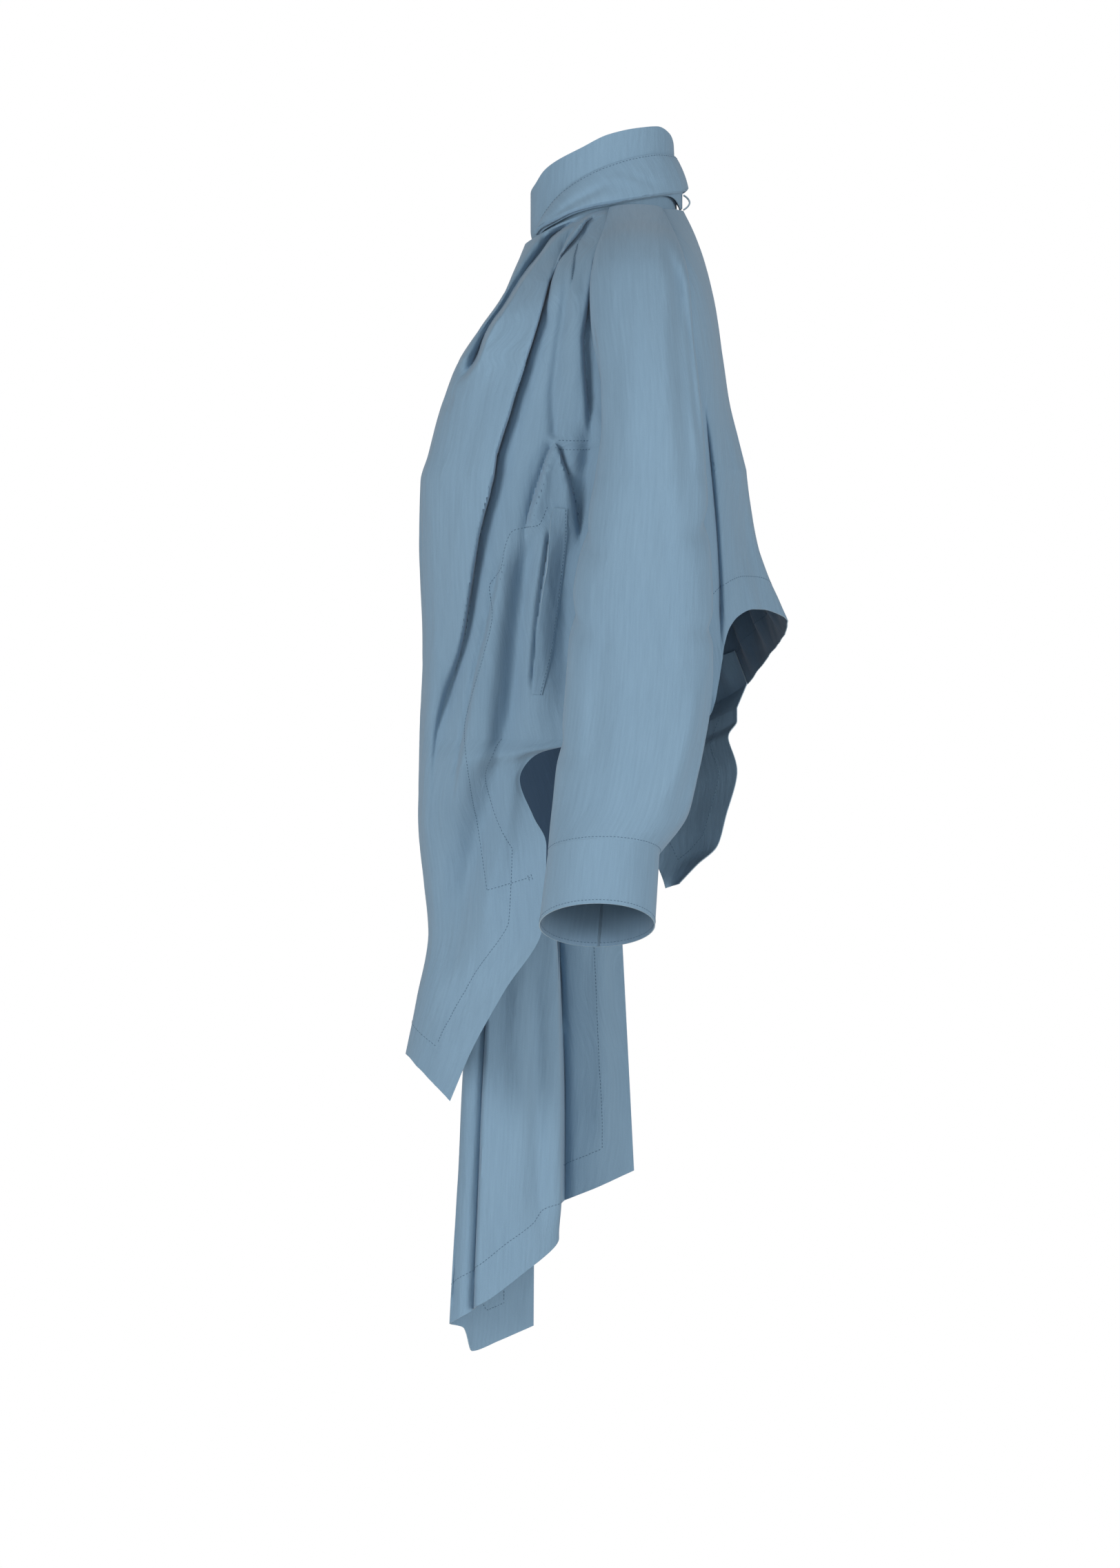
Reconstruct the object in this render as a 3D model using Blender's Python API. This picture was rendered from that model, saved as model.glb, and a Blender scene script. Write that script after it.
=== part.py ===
"""Draped cotton jacket, filled out as when worn: funnel collar with a scarf wrap, wide dolman sleeves with cuff
bands, a left front falling to a pointed corner, a longer pleated right front and a back cut like a cape.

Lengths in the tables are millimetres. The wearer faces -Y, the wearer's left is +X, and the origin is the middle
of the neck at shoulder height, where the jacket is held up.
"""

import math

import bpy
import numpy as np

# ---- driving sizes, millimetres ----
WALL = 1.8  # cloth wall
PULL = 0.17  # each edge stands back this far from its seam line
CLEAR = 0.45  # space between one wall and another that lies on it
SLEEVE_TURNS = 20  # segments round a sleeve
ARM_ROWS = 12  # rows from the neck to the underarm
SLEEVE_ROWS = 9  # rows from the underarm to the cuff seam
LEFT_COLUMNS, FRONT_COLUMNS = 42, 30  # left and right front
SIDE_ROWS = 4  # rows of the edge tables that lie on the side seam
BACK_COLUMNS = 26
COLLAR_TURNS = 32

# ---- left sleeve, a row per section: outer x, z; inner x, z; front y, back y; how far the section is open ----
SLEEVE = [
    # outer_x, outer_z, inner_x, inner_z, front_y, back_y, open
    (69, 12, 67, 9, -4, 43, 1.00),  # neck
    (112, -3, 107, -11, -9, 52, 1.00),
    (154, -18, 146, -36, -17, 61, 0.95),
    (192, -44, 172, -74, -22, 67, 0.85),
    (222, -88, 183, -122, -20, 70, 0.72),
    (243, -138, 188, -168, -15, 75, 0.50),
    (257, -186, 190, -206, -13, 79, 0.25),
    (268, -232, 191, -230, -16, 81, 0.00),  # underarm
    (272, -247, 197, -239, -18, 82, 0.00),
    (282, -290, 203, -284, -27, 84, 0.00),
    (297, -350, 216, -345, -38, 87, 0.00),
    (311, -405, 228, -402, -42, 87, 0.00),
    (324, -449, 238, -452, -46, 84, 0.00),
    (338, -494, 250, -502, -52, 76, 0.00),
    (350, -531, 261, -545, -56, 64, 0.00),
    (361, -559, 273, -584, -59, 39, 0.00),  # cuff seam
]
UNDERARM_ROW = 7
CUFF_RIM = (377, -616, 293, -655, -67, 35, 0.00)

# ---- left front, a row per section: place down the panel; edge point; foremost point; far edge point ----
LEFT_FRONT = [
    # down, front_x, front_y, front_z, far_x, far_y, far_z
    (0.00, 8, -80, -22, -50, -72, -18),  # neck
    (0.15, 46, -90, -48, -66, -85, -46),
    (0.30, 66, -101, -73, -78, -95, -78),
    (0.45, 74, -121, -102, -88, -104, -112),
    (0.60, 76, -141, -133, -94, -117, -150),
    (0.75, 74, -155, -170, -98, -126, -190),
    (0.90, 70, -167, -213, -100, -133, -230),
    (1.00, 66, -174, -238, -100, -136, -255),  # underarm
    (1.30, 60, -175, -300, -100, -142, -315),
    (1.65, 54, -172, -385, -98, -146, -395),
    (2.00, 48, -175, -470, -94, -150, -475),  # end of the side seam
    (2.25, 42, -176, -540, -90, -152, -540),
    (2.50, 36, -171, -600, -85, -152, -595),
    (2.65, 30, -167, -645, -78, -152, -640),
    (2.80, 22, -178, -705, -70, -157, -672),
    (3.00, 8, -188, -755, -60, -163, -702),  # hem
]
# Left front edge below the underarm: the side seam, the side hem, then the free hem down to the corner.
LEFT_EDGE = [
    # down, x, y, z
    (1.00, 188.7, 31, -230),
    (1.30, 185, 28, -300),
    (1.65, 181, 25, -385),
    (2.00, 176, 24, -470),
    (2.08, 172, -40, -476),
    (2.16, 160, -70, -484),
    (2.25, 146, -85, -506),
    (2.37, 130, -73, -539),
    (2.50, 120, -61, -567),
    (2.65, 110, -64, -637),
    (2.80, 88, -100, -699),
    (2.90, 64, -128, -750),
    (3.00, 44, -148, -797),
]
# Folds of the left front as seen from the side. Each path runs downward; high is 1 where the cloth in front of it lies
# on top and -1 where the cloth behind it does. Then the ridge's height and width, the valley's depth and width, and
# the shares of the path over which the fold starts and ends.
LEFT_FOLDS = [
    # high, ridge, ridge_width, valley, valley_width, start, end, path
    (-1, 6, 20, 17, 11, 0.12, 0.16, [
        (-6, 14), (-26, 3), (-49, -12), (-68, -36), (-83, -58), (-97, -82), (-112, -104), (-124, -133), (-143, -156),
    ]),
    (1, 6, 22, 22, 21, 0.12, 0.3, [
        (-6, 12), (-25, -3), (-39, -22), (-54, -46), (-60, -58), (-68, -87), (-76, -114), (-85, -142), (-93, -166),
        (-100, -191), (-107, -209), (-111, -236), (-123, -284), (-129, -322), (-135, -365), (-142, -398),
        (-155, -434), (-166, -470),
    ]),
    (1, 5, 12, 20, 15, 0.12, 0.25, [
        (-16, -34), (-22, -60), (-27, -90), (-30, -114), (-29, -133), (-27, -160), (-25, -186), (-22, -205),
    ]),
    (-1, 5, 12, 8, 13, 0.02, 0.6, [(-53, -203), (-57, -211), (-65, -230), (-73, -250), (-80, -271), (-86, -300)]),
    (1, 5, 11, 13, 14, 0.02, 0.4, [(-53, -203), (-50, -211), (-44, -228), (-39, -243), (-32, -273), (-27, -292)]),
]
LAP_EDGE = 8  # half the run of a fold's steep side

# ---- right front, a row per section; its fore edge curls outward and back upon itself ----
RIGHT_FRONT = [
    # down, front_x, front_y, front_z, fold_x, fold_y, fold_z, half_turns, return_length
    (0.00, -26, -72.5, -18, -8, -77, -19, 0.00, 4),  # neck
    (0.15, -26, -80, -50, -4, -82, -50, 0.00, 5),
    (0.30, -26, -89, -80, 0, -91, -80, 0.00, 7),
    (0.45, -24, -103, -112, 6, -104, -112, 0.00, 9),
    (0.60, -30, -113, -148, 4, -115, -148, 0.10, 10),
    (0.75, -36, -120, -185, 2, -122, -185, 0.25, 12),
    (0.90, -40, -125, -222, 0, -127, -222, 0.45, 16),
    (1.00, -44, -127, -240, -2, -129, -240, 0.60, 20),  # underarm
    (1.40, -50, -130, -335, -6, -132, -335, 0.95, 42),
    (2.00, -58, -130, -470, -12, -133, -470, 1.00, 66),  # end of the side seam
]
RIGHT_EDGE = [
    # down, x, y, z
    (1.00, -188.7, 31, -230),
    (1.30, -185, 28, -300),
    (1.65, -181, 25, -385),
    (2.00, -176, 24, -470),
    (2.30, -170, 12, -560),
    (2.60, -166, 9, -660),
    (3.00, -164, 19, -865),
]
# How the panels round out from their side edges: 1 is an ellipse, less is squarer.
ROUNDING = [
    # down, left_front, right_front, back
    (0.00, 0.72, 0.72, 1.00),
    (0.15, 0.48, 0.72, 0.90),
    (0.30, 0.42, 0.72, 0.75),
    (0.60, 0.40, 0.72, 0.52),
    (1.00, 0.42, 0.72, 0.40),
    (2.00, 0.50, 0.72, 0.40),
    (3.00, 0.62, 0.72, 0.40),
]
NECK_LIFT = 5  # how far the neck edges of the fronts bow up under the wrap
CURL_RADIUS = 4.5
CURL_SHARE = 0.34  # share of the columns that lie in the curl
# Pleats of the long right panel, a row per fold line: place along the panel, x, y at the top, y at the hem, hem z.
PLEATS = [
    # along, x, top_y, hem_y, hem_z
    (0.00, -164, 8, 19, -865),  # rear edge
    (0.12, -150, -16, -12, -879),
    (0.24, -124, -62, -60, -901),  # behind the main fold
    (0.30, -102, -66, -64, -909),
    (0.37, -76, -50, -50, -925),  # main fold, rear ridge
    (0.46, -56, -80, -86, -959),
    (0.56, -55, -108, -124, -987),  # main fold, fore ridge
    (0.66, -66, -128, -149, -1002),  # foremost strip
    (0.72, -76, -131, -148, -1003),
    (0.76, -85, -124, -137, -1006),
    (0.80, -94, -112, -129, -1028),  # lowest corner
    (0.90, -112, -92, -104, -1019),
    (1.00, -128, -72, -73, -1006),  # far edge
]
PLEATS_START, PLEATS_SET = -440, -650

# ---- back, a row per section down to the underarm: place, rearmost x, y, z ----
BACK = [
    # down, x, y, z
    (0.00, 0, 63, 8),
    (0.15, 0, 74, -16),
    (0.30, 4, 83, -44),
    (0.45, 8, 91, -78),
    (0.60, 12, 98, -125),
    (0.75, 20, 104, -168),
    (0.90, 30, 113, -205),
    (1.00, 36, 119, -228),
]
# Hem of the back from the left side seam round to the right one.
BACK_HEM = [
    # along, x, y, z
    (0.00, 176, 24, -470),
    (0.08, 197, 62, -462),
    (0.14, 202, 86, -448),
    (0.20, 196, 93, -420),
    (0.26, 187, 99, -384),
    (0.32, 174, 107, -364),
    (0.37, 156, 124, -354),
    (0.41, 140, 134, -354),
    (0.46, 112, 156, -364),  # rear corner
    (0.50, 88, 155, -372),
    (0.62, 18, 150, -382),
    (0.74, -56, 140, -396),
    (0.85, -120, 122, -420),
    (0.94, -172, 78, -446),
    (1.00, -176, 24, -470),
]
BACK_HOLLOW = 7  # how far the back sags inward between the underarm and its hem
TAIL_HEAD = (0.84, 0.92, 1.0)  # rows of the tail that lie inside the back, as shares of its fall
TAIL_REACH = (0.975, 0.845)  # the tail's fore and rear edge, as places along the hem of the back
TAIL_COLUMNS = 10

# ---- back tail, a row per section: fore point, rear point ----
BACK_TAIL = [
    # fore_x, fore_y, fore_z, rear_x, rear_y, rear_z
    (-170, 30, -480, -122, 113, -441),
    (-166, 28, -493, -119, 113, -453),
    (-163, 26, -506, -117, 105, -468),
    (-158, 26, -532, -106, 113, -499),
    (-154, 30, -560, -106, 103, -539),
    (-150, 38, -580, -110, 95, -567),
    (-146, 44, -594, -118, 77, -584),
    (-140, 48, -606, -134, 60, -602),  # corner
]

# ---- collar, angle round the neck from the front, top edge z ----
COLLAR_TOP = [(0, 24), (20, 32), (37, 45), (73, 64), (95, 76), (119, 82), (140, 84), (160, 78), (180, 66)]
# ---- collar, a row per ring: share of the height, half width, front y, back y ----
COLLAR = [
    # share, half_width, front_y, back_y
    (0.00, 60, -72, 57),
    (0.30, 59, -75, 56),
    (0.65, 57, -75, 55),
    (1.00, 55, -75, 54),
]
COLLAR_FOOT_FRONT, COLLAR_FOOT_BACK = -24, 4  # z of the foot of the collar
# ---- scarf wrap, a row per place in its depth: share of the depth, drop below the foot, distance out,
# further drop at the nape ----
WRAP = [
    # share, drop, out, rear_drop
    (0.00, 0, 2.8, 0),
    (0.18, 0, 5.0, 0),
    (0.50, 0, 8.0, 0),
    (0.80, 0, 10.5, 0),
    (1.00, -0.6, 11.5, 0),  # rolled lower edge
    (1.00, 1.6, 9.6, 0),
    (1.00, 1.4, 7.4, 0),
    (1.00, 1.8, 5.8, 3),
    (1.00, 2.8, 5.0, 15),  # the layer under it, which shows at the nape
]
WRAP_TOP = [(30, -6), (37, 4), (52, 20), (73, 36), (95, 48), (119, 56), (140, 59), (180, 57)]
WRAP_FOOT = [(30, -13), (37, -8), (52, -1), (73, 9), (95, 15), (119, 20), (140, 24), (180, 29)]
WRAP_START = 31  # angle from the front where each end of the wrap is tucked in

# ---- nape loop: half width, top, foot, where it leaves the collar, depth of the bend ----
LOOP_HALF, LOOP_TOP, LOOP_FOOT, LOOP_BACK, LOOP_OUT = 9, 23, 9.8, 63.6, 5.4

# ---- pocket welt, as seen from the side: path of the slit, width of the welt ----
POCKET_SLIT = [(-57, -284), (-61, -316), (-66, -357), (-70, -394), (-75, -430)]
WELT_WIDTH = 13

CLOTH = (0.200, 0.335, 0.465)


def smooth(keys, values, at):
    """Values at the given places of a curve through the key values that never swings past them."""
    keys = np.asarray(keys, float)
    values = np.asarray(values, float)
    flat = values.ndim == 1
    values = values.reshape(len(keys), -1)
    at = np.clip(np.asarray(at, float), keys[0], keys[-1])
    step = np.diff(keys)[:, None]
    slope = np.diff(values, axis=0) / step
    tangent = np.zeros_like(values)
    tangent[0], tangent[-1] = slope[0], slope[-1]
    for i in range(1, len(keys) - 1):
        before, after = slope[i - 1], slope[i]
        near, far = 2 * step[i] + step[i - 1], step[i] + 2 * step[i - 1]
        same = before * after > 1e-12
        safe_before = np.where(same, before, 1.0)
        safe_after = np.where(same, after, 1.0)
        tangent[i] = np.where(same, (near + far) / (near / safe_before + far / safe_after), 0.0)
    place = np.clip(np.searchsorted(keys, at, side="right") - 1, 0, len(keys) - 2)
    h = step[place]
    t = ((at - keys[place]) / h[:, 0])[:, None]
    out = (
        values[place] * (1 + 2 * t) * (1 - t) ** 2
        + values[place + 1] * t**2 * (3 - 2 * t)
        + tangent[place] * h * t * (1 - t) ** 2
        - tangent[place + 1] * h * t**2 * (1 - t)
    )
    return out[:, 0] if flat else out


def unit(vectors):
    return vectors / np.maximum(np.linalg.norm(vectors, axis=-1, keepdims=True), 1e-9)


def line_distance(y, z, path):
    """Signed distance from each side-view place to a fold path, positive to the front, and the place along it."""
    path = np.asarray(path, float)
    best = np.full(y.shape, 1e9)
    signed = np.zeros(y.shape)
    along = np.zeros(y.shape)
    lengths = np.linalg.norm(np.diff(path, axis=0), axis=1)
    total = lengths.sum()
    done = 0.0
    for start, end, length in zip(path[:-1], path[1:], lengths):
        run = (end - start) / length
        off_y, off_z = y - start[0], z - start[1]
        t = np.clip(off_y * run[0] + off_z * run[1], 0, length)
        dist = np.hypot(off_y - t * run[0], off_z - t * run[1])
        side = np.sign(off_y * run[1] - off_z * run[0])
        nearer = dist < best
        best = np.where(nearer, dist, best)
        signed = np.where(nearer, dist * side, signed)
        along = np.where(nearer, (done + t) / total, along)
        done += length
    return signed, along


def grid_normals(grid, closed=False):
    """Normals of a grid of points, rows by columns."""
    across = np.gradient(grid, axis=1)
    if closed:
        across[:, 0] = across[:, -1] = grid[:, 1] - grid[:, -2]
    down = np.gradient(grid, axis=0)
    return unit(np.cross(across, down))


class Sheet:
    """A sheet of cloth: a grid of middle points, rows by columns, and which way is out."""

    def __init__(self, name, grid, out=1, closed_from=None):
        self.name = name
        self.grid = np.array(grid, float)
        self.out = out
        self.closed_from = closed_from
        self.normals = None

    def index(self):
        rows, columns = self.grid.shape[:2]
        index = np.arange(rows * columns).reshape(rows, columns)
        if self.closed_from is not None:
            index[self.closed_from :, -1] = index[self.closed_from :, 0]
        return index

    def faces(self):
        index = self.index()
        faces = np.stack([index[:-1, :-1], index[1:, :-1], index[1:, 1:], index[:-1, 1:]], axis=-1).reshape(-1, 4)
        return faces if self.out > 0 else faces[:, ::-1]

    def find_normals(self):
        points = self.grid.reshape(-1, 3)
        faces = self.faces()
        a, b, c, d = (points[faces[:, i]] for i in range(4))
        face_normal = np.cross(c - a, d - b)
        normals = np.zeros_like(points)
        for i in range(4):
            np.add.at(normals, faces[:, i], face_normal)
        index = self.index().reshape(-1)
        self.normals = unit(normals[index]).reshape(self.grid.shape)


def share_normals(sheets):
    """Gives the sheets that meet on a seam one common normal along it, so that their edges stand parallel."""
    found = {}
    for sheet in sheets:
        sheet.find_normals()
        for place in np.ndindex(sheet.grid.shape[:2]):
            key = tuple(np.round(sheet.grid[place], 2))
            found.setdefault(key, []).append((sheet, place))
    for meeting in found.values():
        if len({sheet.name for sheet, _ in meeting}) < 2:
            continue
        common = unit(sum(sheet.normals[place] for sheet, place in meeting))
        for sheet, place in meeting:
            sheet.normals[place] = common


def stand_back(sheet, edges):
    """Moves the named edges of a sheet back from their seams, within the sheet."""
    moved = sheet.grid.copy()
    grid = sheet.grid
    for edge, start, end in edges:
        if edge in ("left", "right"):
            here, inner = (0, 1) if edge == "left" else (-1, -2)
            line = grid[start:end, here]
            inward = grid[start:end, inner] - line
        else:
            here, inner = (0, 1) if edge == "top" else (-1, -2)
            line = grid[here, start:end]
            inward = grid[inner, start:end] - line
        tangent = unit(np.gradient(line, axis=0))
        inward = inward - tangent * (inward * tangent).sum(axis=1, keepdims=True)
        shift = unit(inward) * PULL
        if edge in ("left", "right"):
            moved[start:end, here] += shift
        else:
            moved[here, start:end] += shift
    sheet.grid = moved


def make_solid(sheet, wall=WALL, colour=CLOTH):
    """Makes the closed wall of a sheet as an object, in metres."""
    if sheet.normals is None:
        sheet.find_normals()
    index = sheet.index()
    kept, compact = np.unique(index.reshape(-1), return_inverse=True)
    compact = compact.reshape(index.shape)
    renumber = np.zeros(index.size, int)
    renumber[index.reshape(-1)] = compact.reshape(-1)
    points = sheet.grid.reshape(-1, 3)[kept]
    normals = sheet.normals.reshape(-1, 3)[kept]
    count = len(kept)
    outer = points + normals * wall / 2
    inner = points - normals * wall / 2
    faces = []
    for face in sheet.faces():
        a, b, c, d = (int(renumber[i]) for i in face)
        if np.linalg.norm(points[a] - points[c]) <= np.linalg.norm(points[b] - points[d]):
            faces += [(a, b, c), (a, c, d)]
        else:
            faces += [(a, b, d), (b, c, d)]
    edges = {}
    for face in faces:
        for start, end in zip(face, face[1:] + face[:1]):
            edges[(start, end)] = edges.get((start, end), 0) + 1
    rim = [edge for edge in edges if (edge[1], edge[0]) not in edges]
    solid_faces = list(faces)
    solid_faces += [tuple(i + count for i in reversed(face)) for face in faces]
    solid_faces += [(end, start, start + count, end + count) for start, end in rim]
    mesh = bpy.data.meshes.new(sheet.name)
    mesh.from_pydata([tuple(point * 0.001) for point in np.concatenate([outer, inner])], [], solid_faces)
    mesh.validate()
    mesh.polygons.foreach_set("use_smooth", [True] * len(mesh.polygons))
    material = bpy.data.materials.new(sheet.name + "_cotton")
    material.use_nodes = True
    shader = material.node_tree.nodes["Principled BSDF"]
    shader.inputs["Base Color"].default_value = (*colour, 1.0)
    shader.inputs["Roughness"].default_value = 0.85
    mesh.materials.append(material)
    solid = bpy.data.objects.new(sheet.name, mesh)
    bpy.context.scene.collection.objects.link(solid)
    return solid


def mirrored(grid):
    return grid * np.array([-1.0, 1.0, 1.0])


def sleeve_section(row):
    """Points of one sleeve section, from its front seam over the top to its back seam."""
    outer_x, outer_z, inner_x, inner_z, front_y, back_y, openness = row
    turn = np.linspace(-math.pi, math.pi, SLEEVE_TURNS + 1)
    swing = openness * np.sin(turn / 2) + (1 - openness) * np.sin(turn)
    swing /= np.abs(swing).max()
    out = (1 - openness) * (1 + np.cos(turn)) / 2 + openness * np.cos(turn / 2) ** 1.2
    x = inner_x + (outer_x - inner_x) * out
    z = inner_z + (outer_z - inner_z) * out
    y = (front_y + back_y) / 2 + (back_y - front_y) / 2 * swing
    return np.stack([x, y, z], axis=1)


def sleeve_grid():
    upper = np.linspace(0, UNDERARM_ROW, ARM_ROWS + 1)
    lower = np.linspace(UNDERARM_ROW, len(SLEEVE) - 1, SLEEVE_ROWS + 1)[1:]
    rows = smooth(range(len(SLEEVE)), SLEEVE, np.concatenate([upper, lower]))
    return np.array([sleeve_section(row) for row in rows])


def lap():
    """How far in the edges of the front and the back lie under the edge of the sleeve, for each row of the armhole."""
    lean = np.radians(smooth([0, 2 / 7, 3 / 7, 4 / 7, 1], [25, 45, 68, 84, 90], np.linspace(0, 1, ARM_ROWS + 1)))
    return np.stack([-np.sin(lean), 0 * lean, -np.cos(lean)], axis=1) * (WALL + CLEAR)


def cuff_grid():
    rows = np.array([SLEEVE[-1], CUFF_RIM], float)
    return np.array([sleeve_section(rows[0] + (rows[1] - rows[0]) * t) for t in (0.0, 0.5, 1.0)])


def bow(start_angle, count, fullness=1.0):
    """Fall and swing of a bow that leaves its edge at a slant and ends square; under 1 it is fuller than an ellipse."""
    t = np.linspace(math.radians(start_angle), math.pi / 2, count)
    fall = (np.cos(t) / np.cos(t[0])) ** fullness
    swing = (np.sin(t) - np.sin(t[0])) / (1 - np.sin(t[0]))
    return fall, swing


def slant(place):
    """How far the panels lean in from their seam with the sleeve, degrees."""
    return float(smooth([0, 0.4, 1, 1.6, 2], [6, 12, 17, 8, 3], [place])[0])


def rounding(place, panel):
    return float(smooth([row[0] for row in ROUNDING], [row[panel] for row in ROUNDING], [place])[0])


def front_section(edge, front, far, columns, turn_share, place, panel):
    """Points of one section of a front panel: edge to foremost point, then to the far edge."""
    first = int(round(columns * turn_share))
    fall, swing = bow(slant(place), first + 1, rounding(place, panel))
    leg = np.stack(
        [
            front[0] + (edge[0] - front[0]) * fall,
            edge[1] + (front[1] - edge[1]) * swing,
            edge[2] + (front[2] - edge[2]) * swing + NECK_LIFT * np.sin(swing * math.pi) * max(1 - place / 0.35, 0) ** 2,
        ],
        axis=1,
    )
    t = np.linspace(0, math.pi / 2, columns - first + 1)[1:]
    fall = 1 - np.cos(t)
    rest = np.stack(
        [
            front[0] + (far[0] - front[0]) * np.sin(t),
            front[1] + (far[1] - front[1]) * fall,
            front[2] + (far[2] - front[2]) * fall,
        ],
        axis=1,
    )
    return np.concatenate([leg, rest])


def side_seam(places):
    """Points of the left side seam."""
    table = np.array(LEFT_EDGE[:SIDE_ROWS], float)
    return smooth(table[:, 0], table[:, 1:], places)


def panel_rows(armhole, edge_table, row_table, lower_places, side):
    """Edge points of every row of a front panel and the rest of its table."""
    edge_table = np.array(edge_table, float)
    row_table = np.array(row_table, float)
    places = np.concatenate([np.linspace(0, 1, ARM_ROWS + 1), lower_places])
    on_seam = lower_places < 2.001
    free = edge_table[SIDE_ROWS - 1 :]
    edges = [armhole, side_seam(lower_places[on_seam]) * np.array([side, 1, 1])]
    edges.append(smooth(free[:, 0], free[:, 1:], lower_places[~on_seam]))
    return np.concatenate(edges), smooth(row_table[:, 0], row_table[:, 1:], places), places


def ease(value, low, high):
    t = np.clip((value - low) / (high - low), 0, 1)
    return t * t * (3 - 2 * t)


def fold(grid, folds):
    """Presses the folds into a panel as a relief towards its side."""
    y, z = grid[..., 1], grid[..., 2]
    shift = np.zeros(y.shape)
    for high, ridge, ridge_width, valley, valley_width, start, end, path in folds:
        dist, along = line_distance(y, z, path)
        dist = dist * high
        growth = 0.6 + 0.4 * ease(along, 0, 0.4)
        top = ridge * np.exp(-((np.maximum(dist, 0) / (ridge_width * growth)) ** 2))
        low = -valley * np.exp(-((np.minimum(dist, 0) / (valley_width * growth)) ** 2))
        share = ease(dist, -LAP_EDGE, LAP_EDGE)
        shift += (top * share + low * (1 - share)) * ease(along, 0, start) * ease(1 - along, 0, end)
    seen = ease(grid_normals(grid)[..., 0], 0, 0.3)
    held = np.ones(y.shape)
    held[:, :3] = np.array([0, 0.2, 0.7])
    held[0] = 0.2
    moved = grid.copy()
    moved[..., 0] += shift * seen * held
    return moved


def left_front_grid(armhole):
    lower = np.concatenate(
        [np.linspace(1, 2, 6)[1:], [2.06, 2.12, 2.18, 2.25, 2.33, 2.42, 2.52, 2.64, 2.76, 2.88, 3.0]]
    )
    edges, rest, places = panel_rows(armhole, LEFT_EDGE, LEFT_FRONT, lower, 1)
    rows = [front_section(e, r[:3], r[3:], LEFT_COLUMNS, 0.76, p, 1) for e, r, p in zip(edges, rest, places)]
    return fold(np.array(rows), LEFT_FOLDS)


def curl(start, half_turns, length, count):
    """Points that run on from the fold line, turn outward by so many half turns and run on for a length."""
    bend = math.pi * CURL_RADIUS
    s = np.linspace(0, 1, count + 1) ** 1.15 * (bend + length)
    fine = np.linspace(0, bend + length, 200)
    heading = -math.pi * half_turns * np.clip(fine / bend, 0, 1)
    step = fine[1]
    x = np.concatenate([[0], np.cumsum(np.cos(heading[:-1]) * step)])
    y = np.concatenate([[0], np.cumsum(np.sin(heading[:-1]) * step)])
    points = np.stack([np.interp(s, fine, x), np.interp(s, fine, y), np.zeros(count + 1)], axis=1)
    return (points + start)[1:]


def right_front_grid(armhole):
    lower = np.concatenate([np.linspace(1, 2, 6)[1:], np.linspace(2, 3, 11)[1:]])
    table = [*RIGHT_FRONT, (3.00, *RIGHT_FRONT[-1][1:])]
    edges, rest, places = panel_rows(armhole, RIGHT_EDGE, table, lower, -1)
    pleats = np.array(PLEATS, float)
    curled = int(round(FRONT_COLUMNS * CURL_SHARE))
    flat = FRONT_COLUMNS - curled
    lines = smooth(pleats[:, 0], pleats[:, 1:], np.linspace(0, 1, FRONT_COLUMNS + 1))
    rows = []
    for edge, rest_row, place in zip(edges, rest, places):
        row = front_section(edge, rest_row[:3], rest_row[3:6], flat, 0.75, place, 2)
        row = np.concatenate([row, curl(row[-1], rest_row[6], rest_row[7], curled)])
        down = max(place - 2, 0.0)
        z = row[:, 2] if place <= 2 else row[:, 2] + (lines[:, 3] - row[:, 2]) * down
        settled = np.clip((PLEATS_START - z) / (PLEATS_START - PLEATS_SET), 0, 1)
        settled = (settled**2 * (3 - 2 * settled))[:, None]
        if place <= 2:
            settled[0] = 0
        low = np.clip((PLEATS_SET - z) / (PLEATS_SET - lines[:, 3]), 0, 1)
        y = lines[:, 1] + (lines[:, 2] - lines[:, 1]) * low
        pleated = np.stack([lines[:, 0], y, z], axis=1)
        level = np.stack([row[:, 0], row[:, 1], z], axis=1)
        rows.append(level + (pleated - level) * settled)
    return np.array(rows)


def back_section(left, rear, place):
    """Points of one section of the back, from the left seam to the right one."""
    fall, swing = bow(slant(place), BACK_COLUMNS // 2 + 1, rounding(place, 3))
    sides = []
    for edge in (left, left * np.array([-1, 1, 1])):
        x = rear[0] + (edge[0] - rear[0]) * fall
        y = edge[1] + (rear[1] - edge[1]) * swing
        z = edge[2] + (rear[2] - edge[2]) * swing
        sides.append(np.stack([x, y, z], axis=1))
    return np.concatenate([sides[0], sides[1][::-1][1:]])


def back_grid(armhole):
    back = np.array(BACK, float)
    places = np.linspace(0, 1, ARM_ROWS + 1)
    rears = smooth(back[:, 0], back[:, 1:], places)
    rows = [back_section(edge, rear, place) for edge, rear, place in zip(armhole, rears, places)]
    hem = np.array(BACK_HEM, float)
    hem_row = smooth(hem[:, 0], hem[:, 1:], np.linspace(0, 1, BACK_COLUMNS + 1))
    top = rows[-1]
    for place in np.linspace(1, 2, 6)[1:]:
        row = top + (hem_row - top) * (place - 1)
        out = np.clip((row[:, 1] - row[0, 1]) / (row[:, 1].max() - row[0, 1]), 0, 1)
        row[:, 1] -= BACK_HOLLOW * math.sin(math.pi * (place - 1)) * out
        row[0] = side_seam([place])[0]
        row[-1] = row[0] * np.array([-1, 1, 1])
        rows.append(row)
    return np.array(rows)


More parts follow.
